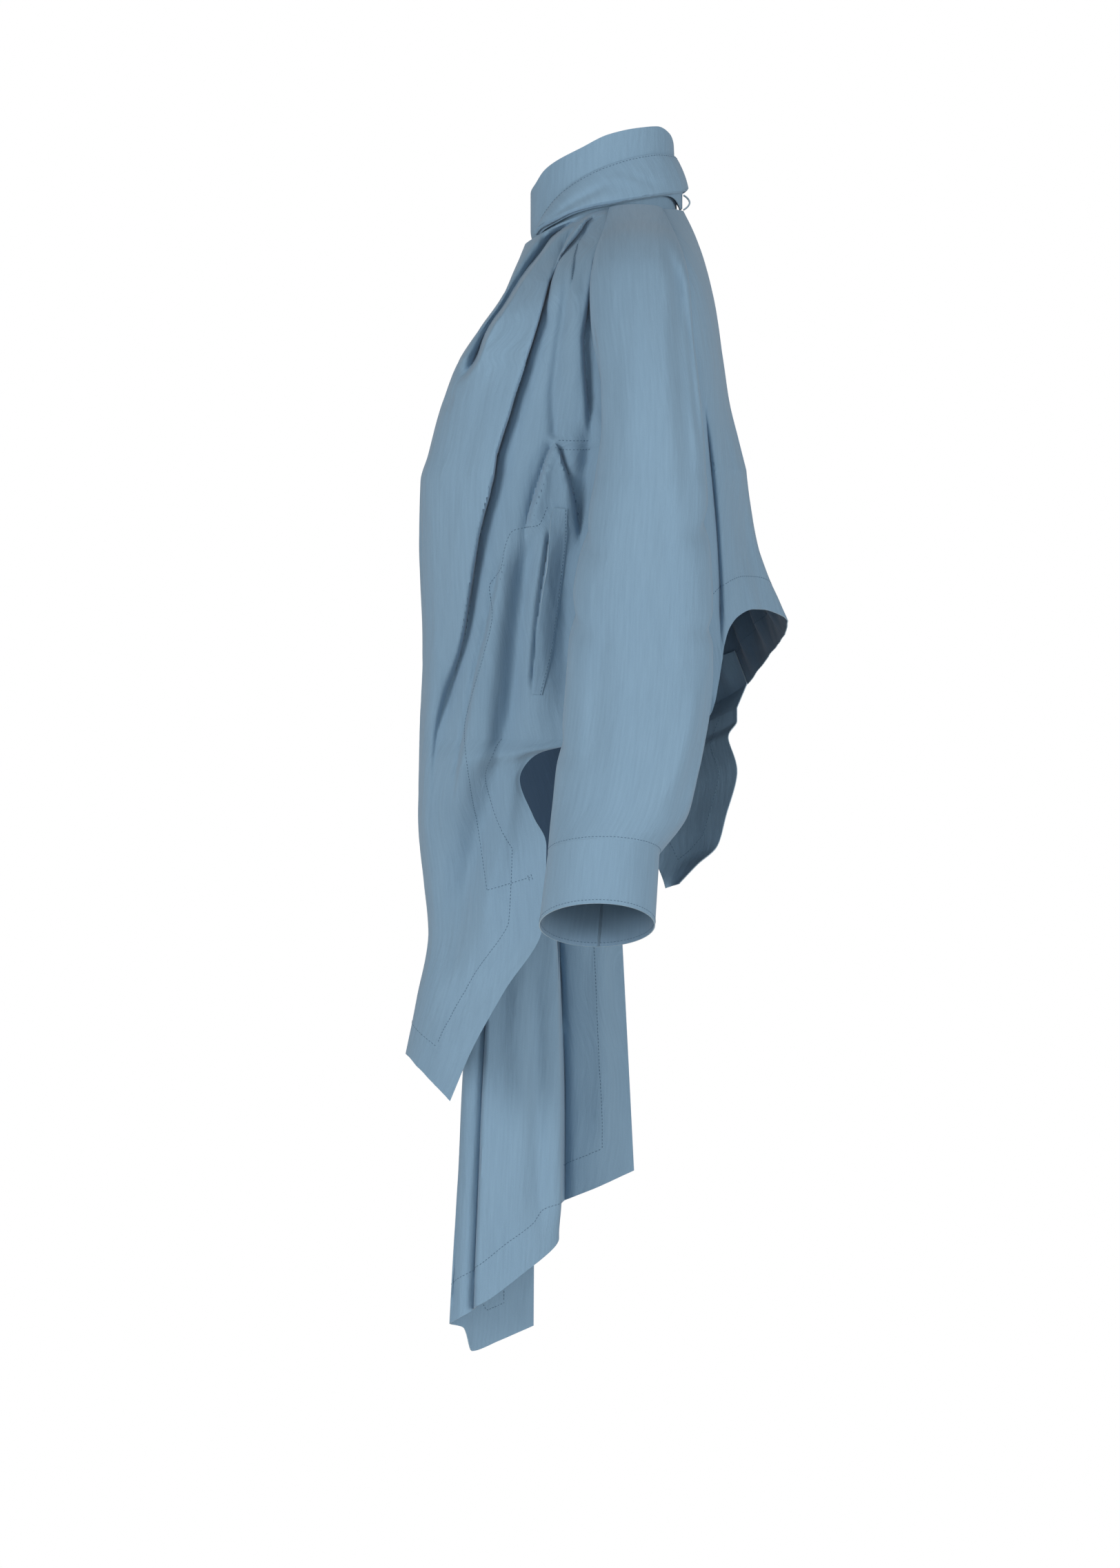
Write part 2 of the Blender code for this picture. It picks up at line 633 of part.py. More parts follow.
def tail_grid(back):
    """The tail: its head lies inside the hem of the back, the rest hangs free."""
    count = TAIL_COLUMNS + 1
    across = np.linspace(0, 1, count)[:, None]
    inner = -(WALL + CLEAR)
    height, reach = back.grid.shape[:2]
    columns = np.linspace(*TAIL_REACH, count) * (reach - 1)
    rows = []
    for up in TAIL_HEAD:
        place = ARM_ROWS + up * (height - 1 - ARM_ROWS)
        low = int(min(place, height - 2))
        share = place - low
        line = back.grid[low] * (1 - share) + back.grid[low + 1] * share
        out = back.normals[low] * (1 - share) + back.normals[low + 1] * share
        line = line + unit(out) * inner
        rows.append(np.stack([np.interp(columns, range(reach), line[:, i]) for i in range(3)], axis=1))
    for row in np.array(BACK_TAIL, float):
        points = row[:3] + (row[3:] - row[:3]) * across
        rows.append(points - np.array([1, 0, 0]) * np.sin(across * math.pi) * 6)
    return np.array(rows)


def collar_grid(rows_table, turns, out=0.0):
    angle = np.linspace(0, 360, turns + 1)
    folded = np.minimum(angle, 360 - angle)
    top = smooth(*zip(*COLLAR_TOP), folded)
    foot = COLLAR_FOOT_FRONT + (COLLAR_FOOT_BACK - COLLAR_FOOT_FRONT) * (1 - np.cos(np.radians(angle))) / 2
    rows = []
    for share, half_width, front_y, back_y in rows_table:
        middle, depth = (front_y + back_y) / 2, (back_y - front_y) / 2
        x = (half_width + out) * np.sin(np.radians(angle))
        y = middle - (depth + out) * np.cos(np.radians(angle))
        rows.append(np.stack([x, y, foot + (top - foot) * share], axis=1))
    return np.array(rows)


def collar_side(angle, z):
    """Point of the collar's middle surface at an angle and height."""
    table = np.array(COLLAR, float)
    folded = np.minimum(angle, 360 - angle)
    top = smooth(*zip(*COLLAR_TOP), folded)
    foot = COLLAR_FOOT_FRONT + (COLLAR_FOOT_BACK - COLLAR_FOOT_FRONT) * (1 - np.cos(np.radians(angle))) / 2
    share = np.clip((z - foot) / (top - foot), 0, 1)
    ring = smooth(table[:, 0], table[:, 1:], share)
    middle, depth = (ring[:, 1] + ring[:, 2]) / 2, (ring[:, 2] - ring[:, 1]) / 2
    return ring[:, 0], middle, depth


def wrap_grid():
    angle = np.linspace(WRAP_START, 360 - WRAP_START, COLLAR_TURNS)
    folded = np.minimum(angle, 360 - angle)
    top = smooth(*zip(*WRAP_TOP), folded)
    foot = smooth(*zip(*WRAP_FOOT), folded)
    fullness = 0.7 + 0.3 * np.clip((folded - WRAP_START) / 30, 0, 1)
    rows = []
    nape = np.clip((folded - 138) / 30, 0, 1) ** 2
    for share, drop, out, rear_drop in WRAP:
        z = top + (foot - top) * share - drop - rear_drop * nape
        half_width, middle, depth = collar_side(angle, z)
        off = 2.8 + (out - 2.8) * fullness
        x = (half_width + off) * np.sin(np.radians(angle))
        y = middle - (depth + off) * np.cos(np.radians(angle))
        rows.append(np.stack([x, y, z], axis=1))
    return np.array(rows)


def loop_grid():
    """A short turned strip, bent outward below the wrap at the nape."""
    across = np.linspace(-LOOP_HALF, LOOP_HALF, 7)
    rows = []
    for t in np.linspace(0, 1, 9):
        z = LOOP_TOP + (LOOP_FOOT - LOOP_TOP) * t
        y = LOOP_BACK + LOOP_OUT * math.sin(math.pi * t) ** 0.8
        rows.append(np.stack([across, np.full(7, y) - (across / 90) ** 2 * 60, np.full(7, z)], axis=1))
    return np.array(rows)


def welt_grid(panel):
    """A narrow strip along the slit, made from the panel's own points moved out."""
    path = np.array(POCKET_SLIT, float)
    t = np.linspace(0, 1, 12)
    line = smooth(np.linspace(0, 1, len(path)), path, t)
    points = panel.grid.reshape(-1, 3)
    normals = panel.normals.reshape(-1, 3)
    seen = normals[:, 0] > 0.2
    points, normals = points[seen], normals[seen]
    columns = []
    for step in np.linspace(0, WELT_WIDTH, 4):
        column = []
        for y, z in line:
            gap = np.hypot(points[:, 1] - (y + step), points[:, 2] - z)
            near = np.argsort(gap)[:6]
            weight = 1 / (gap[near] + 1.0) ** 2
            weight /= weight.sum()
            normal = unit((normals[near] * weight[:, None]).sum(axis=0))
            base = (points[near] * weight[:, None]).sum(axis=0)
            # slides the mean point within the panel's plane to the wanted place in the side view
            move = np.array([0.0, y + step - base[1], z - base[2]])
            move[0] = -(normal[1] * move[1] + normal[2] * move[2]) / max(normal[0], 0.2)
            column.append(base + move + normal * (WALL + CLEAR + 0.1))
        columns.append(column)
    return np.array(columns).transpose(1, 0, 2)


for item in list(bpy.data.objects):
    bpy.data.objects.remove(item, do_unlink=True)

left_sleeve = Sheet("left_sleeve", sleeve_grid(), 1, ARM_ROWS)
right_sleeve = Sheet("right_sleeve", mirrored(sleeve_grid()), -1, ARM_ROWS)
left_cuff = Sheet("left_cuff", cuff_grid(), 1, 0)
right_cuff = Sheet("right_cuff", mirrored(cuff_grid()), -1, 0)
front_line = left_sleeve.grid[: ARM_ROWS + 1, 0] + lap()
back_line = left_sleeve.grid[: ARM_ROWS + 1, -1] + lap()
left_front = Sheet("left_front", left_front_grid(front_line), -1)
right_front = Sheet("right_front", right_front_grid(mirrored(front_line)), 1)
back = Sheet("back", back_grid(back_line), 1)
joined = [left_sleeve, right_sleeve, left_cuff, right_cuff, left_front, right_front, back]
share_normals(joined)
for sheet in (left_sleeve, right_sleeve):
    stand_back(sheet, [("bottom", 0, None)])
for sheet in (left_cuff, right_cuff):
    stand_back(sheet, [("top", 0, None)])
for sheet in (left_front, right_front):
    stand_back(sheet, [("left", ARM_ROWS, ARM_ROWS + 6)])
stand_back(back, [("left", ARM_ROWS, None), ("right", ARM_ROWS, None)])
for sheet in joined:
    make_solid(sheet)

make_solid(Sheet("back_tail", tail_grid(back), -1))
make_solid(Sheet("collar", collar_grid(COLLAR, COLLAR_TURNS), 1, 0))
make_solid(Sheet("collar_wrap", wrap_grid(), 1))
make_solid(Sheet("nape_loop", loop_grid(), 1), wall=1.6)
make_solid(Sheet("pocket_welt", welt_grid(left_front), 1), wall=1.0)
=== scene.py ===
"""Looks of the draped cotton jacket: each panel as a thin creased shell on its solid's form, with its hems,
stitching, pocket and washed cotton.

Tables are in millimetres, in the part's own axes: the wearer faces -Y and the wearer's left is +X.
"""

import math

import bpy
import numpy as np
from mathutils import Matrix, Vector, noise


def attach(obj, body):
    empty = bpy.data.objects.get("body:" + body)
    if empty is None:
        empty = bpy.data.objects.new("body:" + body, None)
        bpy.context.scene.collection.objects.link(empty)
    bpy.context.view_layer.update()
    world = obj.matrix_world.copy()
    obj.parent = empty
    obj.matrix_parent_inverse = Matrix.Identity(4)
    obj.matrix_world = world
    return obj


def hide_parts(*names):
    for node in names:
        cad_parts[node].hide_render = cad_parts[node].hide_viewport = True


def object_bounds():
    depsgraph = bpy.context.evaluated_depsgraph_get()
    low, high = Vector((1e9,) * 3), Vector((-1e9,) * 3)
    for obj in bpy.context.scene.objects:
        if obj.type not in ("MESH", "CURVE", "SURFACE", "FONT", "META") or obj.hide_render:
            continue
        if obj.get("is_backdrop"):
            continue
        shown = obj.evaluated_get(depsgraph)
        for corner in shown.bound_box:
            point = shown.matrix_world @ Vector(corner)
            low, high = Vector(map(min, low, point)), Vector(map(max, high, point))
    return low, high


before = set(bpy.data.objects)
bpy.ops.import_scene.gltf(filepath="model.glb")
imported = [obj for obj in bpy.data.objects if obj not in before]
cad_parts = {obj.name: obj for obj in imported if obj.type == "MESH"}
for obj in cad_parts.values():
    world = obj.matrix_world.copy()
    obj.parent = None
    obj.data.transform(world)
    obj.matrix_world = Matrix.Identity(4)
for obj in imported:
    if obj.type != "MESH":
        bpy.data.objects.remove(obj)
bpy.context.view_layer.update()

MM = 0.001  # a millimetre in metres
TINY, LEVEL, FAR = 1e-9, 1e-12, 1e9  # a length of nothing, the least slope squared, more than any distance
NEARLY = 1e-6  # how far outside a triangle, as a share of its size, a place may lie and still count as inside

# ---- sizes of the shells ----
SHELL = 0.9  # thickness of the cloth
CLEAR = 0.4  # space between one layer and another that lies on it
# Rows run down the cloth and columns across it. ARM_ROWS lie along the armhole, which all panels share.
SLEEVE_TURNS, ARM_ROWS, SLEEVE_ROWS, CUFF_ROWS = 110, 108, 110, 32
FRONT_COLUMNS, BACK_COLUMNS, BACK_ROWS = 190, 150, 90
FINER = 8  # rows of the lower panels for each of the places below
LEFT_LOWER = [1, 1.2, 1.4, 1.6, 1.8, 2, 2.06, 2.12, 2.18, 2.25, 2.33, 2.42, 2.52, 2.64, 2.76, 2.88, 3]
RIGHT_LOWER = [1, 1.2, 1.4, 1.6, 1.8, 2, 2.1, 2.2, 2.3, 2.4, 2.5, 2.6, 2.7, 2.8, 2.9, 3]
TAIL_COLUMNS, TAIL_HEAD_ROWS, TAIL_ROWS = 70, 24, 70
COLLAR_TURNS, COLLAR_ROWS, WRAP_ROWS = 220, 56, 84
LOOP_COLUMNS, LOOP_ROWS = 13, 33
WELT_ROWS, WELT_COLUMNS = 90, 12
SIDE_ROWS = 4  # rows of the edge tables that lie on the side seam
SEAM_END = 2.001  # just past the place where the side seam ends

# ---- left sleeve, a row per section: outer x, z; inner x, z; front y, back y; how far the section is open ----
SLEEVE = [
    # outer_x, outer_z, inner_x, inner_z, front_y, back_y, open
    (69, 12, 67, 9, -4, 43, 1),  # neck
    (112, -3, 107, -11, -9, 52, 1),
    (154, -18, 146, -36, -17, 61, 0.95),
    (192, -44, 172, -74, -22, 67, 0.85),
    (222, -88, 183, -122, -20, 70, 0.72),
    (243, -138, 188, -168, -15, 75, 0.5),
    (257, -186, 190, -206, -13, 79, 0.25),
    (268, -232, 191, -230, -16, 81, 0),  # underarm
    (272, -247, 197, -239, -18, 82, 0),
    (282, -290, 203, -284, -27, 84, 0),
    (297, -350, 216, -345, -38, 87, 0),
    (311, -405, 228, -402, -42, 87, 0),
    (324, -449, 238, -452, -46, 84, 0),
    (338, -494, 250, -502, -52, 76, 0),
    (350, -531, 261, -545, -56, 64, 0),
    (361, -559, 273, -584, -59, 39, 0),  # cuff seam
]
UNDERARM_ROW = 7
SLEEVE_CROWN = 1.2  # power of the round over the top of an open section
# Place down the armhole, and how far the lap under the sleeve's edge leans inward from straight down, in degrees.
SEAM_LEAN = [(0, 25), (2 / 7, 45), (3 / 7, 68), (4 / 7, 84), (1, 90)]
# Place down the panels, and how far they slant at their side edge, in degrees.
PANEL_SLANT = [(0, 6), (0.4, 12), (1, 17), (1.6, 8), (2, 3)]
LEFT_TURN, RIGHT_TURN = 0.78, 0.75  # share of a front's columns from its side edge to its foremost point
CUFF_RIM = (377, -616, 293, -655, -67, 35, 0)

# ---- left front, a row per section: place down the panel; edge point; foremost point; far edge point ----
LEFT_FRONT = [
    # down, front_x, front_y, front_z, far_x, far_y, far_z
    (0, 8, -80, -22, -50, -72, -18),  # neck
    (0.15, 46, -90, -48, -66, -85, -46),
    (0.3, 66, -101, -73, -78, -95, -78),
    (0.45, 74, -121, -102, -88, -104, -112),
    (0.6, 76, -141, -133, -94, -117, -150),
    (0.75, 74, -155, -170, -98, -126, -190),
    (0.9, 70, -167, -213, -100, -133, -230),
    (1, 66, -174, -238, -100, -136, -255),  # underarm
    (1.3, 60, -175, -300, -100, -142, -315),
    (1.65, 54, -172, -385, -98, -146, -395),
    (2, 48, -175, -470, -94, -150, -475),  # end of the side seam
    (2.25, 42, -176, -540, -90, -152, -540),
    (2.5, 36, -171, -600, -85, -152, -595),
    (2.65, 30, -167, -645, -78, -152, -640),
    (2.8, 22, -178, -705, -70, -157, -672),
    (3, 8, -188, -755, -60, -163, -702),  # hem
]
# Left front edge below the underarm: the side seam, the side hem, then the free hem down to the corner.
LEFT_EDGE = [
    # down, x, y, z
    (1, 188.7, 31, -230), (1.3, 185, 28, -300), (1.65, 181, 25, -385), (2, 176, 24, -470), (2.08, 172, -40, -476),
    (2.16, 160, -70, -484), (2.25, 146, -85, -506), (2.37, 130, -73, -539), (2.5, 120, -61, -567),
    (2.65, 110, -64, -637), (2.8, 88, -100, -699), (2.9, 64, -128, -750), (3, 44, -148, -797),
]
# ---- right front, a row per section; its fore edge curls outward and back upon itself ----
RIGHT_FRONT = [
    # down, front_x, front_y, front_z, fold_x, fold_y, fold_z, half_turns, return_length
    (0, -26, -72.5, -18, -8, -77, -19, 0, 4),  # neck
    (0.15, -26, -80, -50, -4, -82, -50, 0, 5),
    (0.3, -26, -89, -80, 0, -91, -80, 0, 7),
    (0.45, -24, -103, -112, 6, -104, -112, 0, 9),
    (0.6, -30, -113, -148, 4, -115, -148, 0.1, 10),
    (0.75, -36, -120, -185, 2, -122, -185, 0.25, 12),
    (0.9, -40, -125, -222, 0, -127, -222, 0.45, 16),
    (1, -44, -127, -240, -2, -129, -240, 0.6, 20),  # underarm
    (1.4, -50, -130, -335, -6, -132, -335, 0.95, 42),
    (2, -58, -130, -470, -12, -133, -470, 1, 66),  # end of the side seam
]
RIGHT_EDGE = [
    # down, x, y, z
    (1, -188.7, 31, -230), (1.3, -185, 28, -300), (1.65, -181, 25, -385), (2, -176, 24, -470), (2.3, -170, 12, -560),
    (2.6, -166, 9, -660), (3, -164, 19, -865),
]
# How the panels round out from their side edges: 1 is an ellipse, less is squarer.
ROUNDING = [
    # down, left_front, right_front, back
    (0, 0.72, 0.72, 1), (0.15, 0.48, 0.72, 0.9), (0.3, 0.42, 0.72, 0.75), (0.6, 0.4, 0.72, 0.52),
    (1, 0.42, 0.72, 0.4), (2, 0.5, 0.72, 0.4), (3, 0.62, 0.72, 0.4),
]
NECK_LIFT, NECK_LIFT_END = 5, 0.35  # how far the neck edges bow up under the wrap, and where that ends
CURL_RADIUS = 4.5
CURL_BUNCH, CURL_STEPS = 1.15, 200  # power that bunches the columns at the fold line; steps along the bend
CURL_SHARE = 0.34  # share of the columns that lie in the curl
# Pleats of the long right panel, a row per fold line: place along the panel, x, y at the top, y at the hem, hem z.
PLEATS = [
    # along, x, top_y, hem_y, hem_z
    (0, -164, 8, 19, -865),  # rear edge
    (0.12, -150, -16, -12, -879),
    (0.24, -124, -62, -60, -901),  # behind the main fold
    (0.3, -102, -66, -64, -909),
    (0.37, -76, -50, -50, -925),  # main fold, rear ridge
    (0.46, -56, -80, -86, -959),
    (0.56, -55, -108, -124, -987),  # main fold, fore ridge
    (0.66, -66, -128, -149, -1002),  # foremost strip
    (0.72, -76, -131, -148, -1003),
    (0.76, -85, -124, -137, -1006),
    (0.8, -94, -112, -129, -1028),  # lowest corner
    (0.9, -112, -92, -104, -1019),
    (1, -128, -72, -73, -1006),  # far edge
]
PLEATS_START, PLEATS_SET = -440, -650

# ---- back, a row per section down to the underarm: place, rearmost x, y, z ----
BACK = [
    # down, x, y, z
    (0, 0, 63, 8), (0.15, 0, 74, -16), (0.3, 4, 83, -44), (0.45, 8, 91, -78), (0.6, 12, 98, -125),
    (0.75, 20, 104, -168), (0.9, 30, 113, -205), (1, 36, 119, -228),
]
# Hem of the back from the left side seam round to the right one.
BACK_HEM = [
    # along, x, y, z
    (0, 176, 24, -470), (0.08, 197, 62, -462), (0.14, 202, 86, -448), (0.2, 196, 93, -420), (0.26, 187, 99, -384),
    (0.32, 174, 107, -364), (0.37, 156, 124, -354), (0.41, 140, 134, -354),
    (0.46, 112, 156, -364),  # rear corner
    (0.5, 88, 155, -372), (0.62, 18, 150, -382), (0.74, -56, 140, -396), (0.85, -120, 122, -420),
    (0.94, -172, 78, -446), (1, -176, 24, -470),
]
BACK_HOLLOW = 7  # how far the back sags inward between the underarm and its hem
TAIL_HEAD = (0.84, 1)  # where the tail's head lies inside the back, as shares of its fall
TAIL_REACH = (0.975, 0.845)  # the tail's fore and rear edge, as places along the hem of the back
TAIL_BOW = 6  # how far the tail bows out to the right

# ---- back tail, a row per section: fore point, rear point ----
BACK_TAIL = [
    # fore_x, fore_y, fore_z, rear_x, rear_y, rear_z
    (-170, 30, -480, -122, 113, -441),
    (-166, 28, -493, -119, 113, -453),
    (-163, 26, -506, -117, 105, -468),
    (-158, 26, -532, -106, 113, -499),
    (-154, 30, -560, -106, 103, -539),
    (-150, 38, -580, -110, 95, -567),
    (-146, 44, -594, -118, 77, -584),
    (-140, 48, -606, -134, 60, -602),  # corner
]

# ---- collar, angle round the neck from the front, top edge z ----
COLLAR_TOP = [(0, 24), (20, 32), (37, 45), (73, 64), (95, 76), (119, 82), (140, 84), (160, 78), (180, 66)]
# ---- collar, a row per ring: share of the height, half width, front y, back y ----
COLLAR = [
    # share, half_width, front_y, back_y
    (0, 60, -72, 57), (0.3, 59, -75, 56), (0.65, 57, -75, 55), (1, 55, -75, 54),
]
COLLAR_FOOT_FRONT, COLLAR_FOOT_BACK = -24, 4  # z of the foot of the collar
# ---- scarf wrap, a row per place in its depth: share of the depth, drop below the foot, distance out,
# further drop at the nape ----
WRAP = [
    # share, drop, out, rear_drop
    (0, 0, 1.5, 0),
    (0.18, 0, 4.2, 0),
    (0.5, 0, 8, 0),
    (0.8, 0, 10.5, 0),
    (1, -0.6, 11.5, 0),  # rolled lower edge
    (1, 1.6, 9.6, 0),
    (1, 1.4, 7.4, 0),
    (1, 1.8, 5.8, 3),
    (1, 2.8, 5, 15),  # the layer under it, which shows at the nape
]
WRAP_TOP = [(30, -6), (37, 4), (52, 20), (73, 36), (95, 48), (119, 56), (140, 59), (180, 57)]
WRAP_FOOT = [(30, -13), (37, -8), (52, -1), (73, 9), (95, 15), (119, 20), (140, 24), (180, 29)]
WRAP_START = 31  # angle from the front where each end of the wrap is tucked in
WRAP_LEAST = 1.5  # how far out every part of the wrap lies at least
WRAP_THIN, WRAP_GROWS = 0.7, 30  # share of its bulk at a tucked end, and the angle over which it is full
NAPE_START, NAPE_GROWS = 138, 30  # angle from which the layer under the wrap drops, and over which it is full

# ---- nape loop: half width, top, foot, where it leaves the collar, depth of the bend ----
LOOP_HALF, LOOP_TOP, LOOP_FOOT, LOOP_BACK, LOOP_OUT = 9, 23, 9.8, 63.6, 5.4
LOOP_BEND = 0.8  # power of the bend; under 1 it is squarer
LOOP_ROUND = (90, 60)  # the loop's edges lie back by the second times the square of their place over the first

# ---- pocket welt, as seen from the side: its fore edge and its width ----
POCKET_WELT = [
    # y, z, width
    (-54, -263, 11.5), (-57, -275, 14), (-58, -287, 15), (-61, -314, 15), (-65, -344, 15), (-68, -369, 14.5),
    (-70, -397, 12), (-73, -430, 8),
]
WELT_LIFT = 2.4  # how far the fore edge of the welt stands off the panel
WELT_SLANT = 0.12  # fall of the welt's rows from its fore edge to its rear one
WELT_BOW = (0.12, 0.8, 0.7)  # the part of a half wave that its fore edge stands off by, from and run, and its power
SLIT_DEPTH, SLIT_WIDTH = -8, 3.2
SLIT_HEAD, SLIT_OFF = (-58, -281), 1.5  # where the slit starts, and how far it lies before the welt

# ---- folds ----
# A view: its axes across and down, and the direction from the cloth to the eye.
LEFT, RIGHT = ((1, 2), (1, 0, 0)), ((1, 2), (-1, 0, 0))
FRONT, REAR = ((0, 2), (0, -1, 0)), ((0, 2), (0, 1, 0))
FACING_FADE = 0.25  # how squarely cloth faces the eye where a fold is full; it fades to none on cloth seen edge-on
PATH_POINTS = 36  # points of a fold's path
LAP_START, LAP_GROWN = 0.35, 0.6  # share of a lap's width at its start, and where on its path it is full
CREASE_START, CREASE_GROWN = 0.6, 0.5  # the same for a crease
VALLEY_FORM = ((0.55, 0.42), (0.45, 1.35))  # depth and width of the two bells that a lap's valley is made of
LIP_REACH = 2.5  # how far a lap's lean reaches, in leans
RIPPLE, LEFT_FRONT_RIPPLE = 0.5, 0.8  # height of the ripples
RIPPLES = ((16, 90, 1, 1), (7, 40, 10, 0.5))  # width, length, layer of the noise, share
# A lap is a fold whose one side lies over the other. Its path runs downward as seen from the side; high is 1 where
# the front side lies on top and -1 where the rear side does.
LEFT_FRONT_LAPS = [
    # high, ridge, ridge_width, valley, valley_width, lean, start, end, path of (y, z)
    (-1, 9, 20, 36, 15, 2, 0.02, 0.2, [
        (-6, 14), (-26, 3), (-49, -12), (-68, -36), (-83, -58), (-97, -82), (-112, -104), (-124, -133), (-143, -156),
    ]),
    (1, 8, 22, 24, 18, 5, 0.06, 0.6, [
        (-6, 12), (-25, -3), (-39, -22), (-54, -46), (-60, -58), (-68, -87), (-76, -114), (-85, -142), (-93, -166),
        (-100, -191), (-107, -209), (-111, -236), (-123, -284), (-129, -322), (-135, -365), (-142, -398),
        (-155, -434), (-163, -475), (-165, -530), (-166, -590),
    ]),
    (-1, 5, 9, 14, 8, 3, 0.05, 0.4, [(-22, 2), (-38, -16), (-49, -42), (-56, -66), (-60, -88), (-60, -108)]),
    (1, 3, 7, 7, 6, 2, 0.1, 0.5, [(-24, -8), (-33, -25), (-37, -43), (-40, -64), (-44, -84)]),
    (1, 5, 12, 13, 15, 3, 0.12, 0.25, [
        (-16, -34), (-22, -60), (-27, -90), (-30, -114), (-29, -133), (-27, -160), (-25, -186), (-22, -205),
    ]),
    (-1, 6, 12, 14, 13, 1.5, 0.08, 0.35, [
        (-53, -203), (-57, -211), (-63, -230), (-69, -250), (-75, -271), (-80, -300),
    ]),
    (-1, 7, 15, 10, 9, 2, 0.2, 0.3, [
        (-92, -280), (-102, -317), (-111, -361), (-123, -411), (-133, -464), (-140, -500), (-146, -540),
    ]),
    (1, 5, 10, 12, 11, 3, 0.1, 0.35, [(-53, -203), (-51, -211), (-46, -228), (-41, -243), (-35, -273), (-31, -300)]),
]
LEFT_FRONT_CREASES = [
    # height, width, start, end, path of (y, z)
    (14, 9, 0.1, 0.1, [(-62, -10), (-82, -36), (-98, -60), (-114, -86), (-128, -112), (-142, -140)]),  # tube
    (-5, 5, 0.4, 0.03, [(-41, -23), (-44, -74), (-52, -134), (-55, -165), (-54, -185), (-53, -203)]),
    (4, 9, 0.3, 0.3, [(-36, -40), (-35, -90), (-37, -150), (-40, -190)]),
    (-15, 12, 0.25, 0.3, [(-70, -262), (-76, -296), (-82, -330), (-86, -356), (-90, -404), (-95, -452), (-102, -510)]),
    (6, 14, 0.2, 0.4, [(-90, -300), (-98, -360), (-108, -420), (-122, -500), (-136, -580)]),
    (-9, 13, 0.3, 0.3, [(-44, -280), (-48, -330), (-50, -380), (-56, -430)]),
    (-12, 13, 0.15, 0.2, [(-20, -180), (-26, -240), (-34, -300), (-38, -360), (-43, -420), (-50, -470)]),
    (-10, 15, 0.3, 0.3, [(-135, -380), (-146, -430), (-156, -480), (-160, -540), (-160, -600)]),
    (7, 16, 0.3, 0.3, [(-168, -330), (-166, -420), (-170, -520), (-166, -600)]),
    (6, 11, 0.3, 0.3, [(-84, -470), (-96, -540), (-112, -610), (-126, -680)]),
    (-6, 10, 0.3, 0.3, [(-98, -440), (-112, -520), (-128, -590), (-140, -650)]),
    (-12, 17, 0.3, 0.3, [(-112, -470), (-124, -530), (-138, -590), (-152, -660), (-164, -720)]),
    (-6, 5, 0.2, 0.2, [(-146, -158), (-154, -170), (-162, -160)]),
]
LEFT_SLEEVE_CREASES = [
    (-8, 9, 0.2, 0.5, [(39, -16), (49, -40), (56, -66), (59, -122), (62, -170), (64, -230), (66, -300)]),
    (-4.5, 3.5, 0.3, 0.3, [(62, -70), (66, -110), (70, -150), (74, -190), (78, -225)]),
    (5, 8, 0.2, 0.3, [(51, -12), (64, -50), (73, -90), (79, -139), (83, -190), (85, -240)]),
    (3, 13, 0.3, 0.4, [(20, -30), (22, -90), (18, -170), (14, -260)]),
    (-5, 7, 0.2, 0.2, [(84, -400), (82, -450), (72, -485), (62, -515), (48, -556)]),
    (3, 8, 0.2, 0.2, [(72, -420), (68, -455), (58, -490), (46, -525)]),
    (-3, 12, 0.4, 0.4, [(40, -200), (46, -300), (44, -400), (38, -480)]),
    (-2.6, 10, 0.4, 0.3, [(-8, -330), (-16, -430), (-24, -520)]),
    (2.4, 12, 0.4, 0.4, [(10, -380), (6, -470), (0, -550)]),
]
BACK_CREASES = [
    # height, width, start, end, path of (x, z), as seen from behind
    (-12, 13, 0.2, 0.15, [(-60, -30), (-76, -130), (-88, -230), (-96, -340), (-98, -420)]),
    (-10, 14, 0.3, 0.15, [(-18, -60), (-26, -160), (-36, -260), (-44, -400)]),
    (-11, 12, 0.3, 0.15, [(28, -90), (36, -180), (42, -280), (40, -380)]),
    (-8, 10, 0.3, 0.1, [(-120, -120), (-130, -240), (-138, -340), (-142, -430)]),
    (-7, 9, 0.3, 0.1, [(66, -50), (84, -130), (96, -220), (100, -360)]),
]
BACK_SIDE_LAPS = [
    # the cape falls away behind the sleeve, as seen from the side
    (-1, 2, 12, 11, 9, 2, 0.25, 0.2, [(76, -150), (84, -190), (90, -240), (95, -300), (97, -350), (96, -400)]),
]
BACK_SIDE_CREASES = [
    (-5, 9, 0.3, 0.3, [(92, -150), (104, -220), (116, -290), (124, -352)]),
]
# The long panels of the right front, whose inside shows: a negative fold stands out towards the left.
RIGHT_FRONT_LAPS = [
    (1, -5, 16, -25, 17, 3, 0.12, 0.1, [(-58, -560), (-53, -650), (-50, -720), (-48, -800), (-48, -897), (-46, -925)]),
    (-1, -4, 14, -14, 6, 3, 0.12, 0.05, [(-106, -600), (-113, -700), (-118, -800), (-122, -900), (-126, -1004)]),
    (1, -2, 10, -7, 6, 2, 0.1, 0.1, [(-140, -760), (-143, -850), (-146, -940), (-148, -1000)]),
]
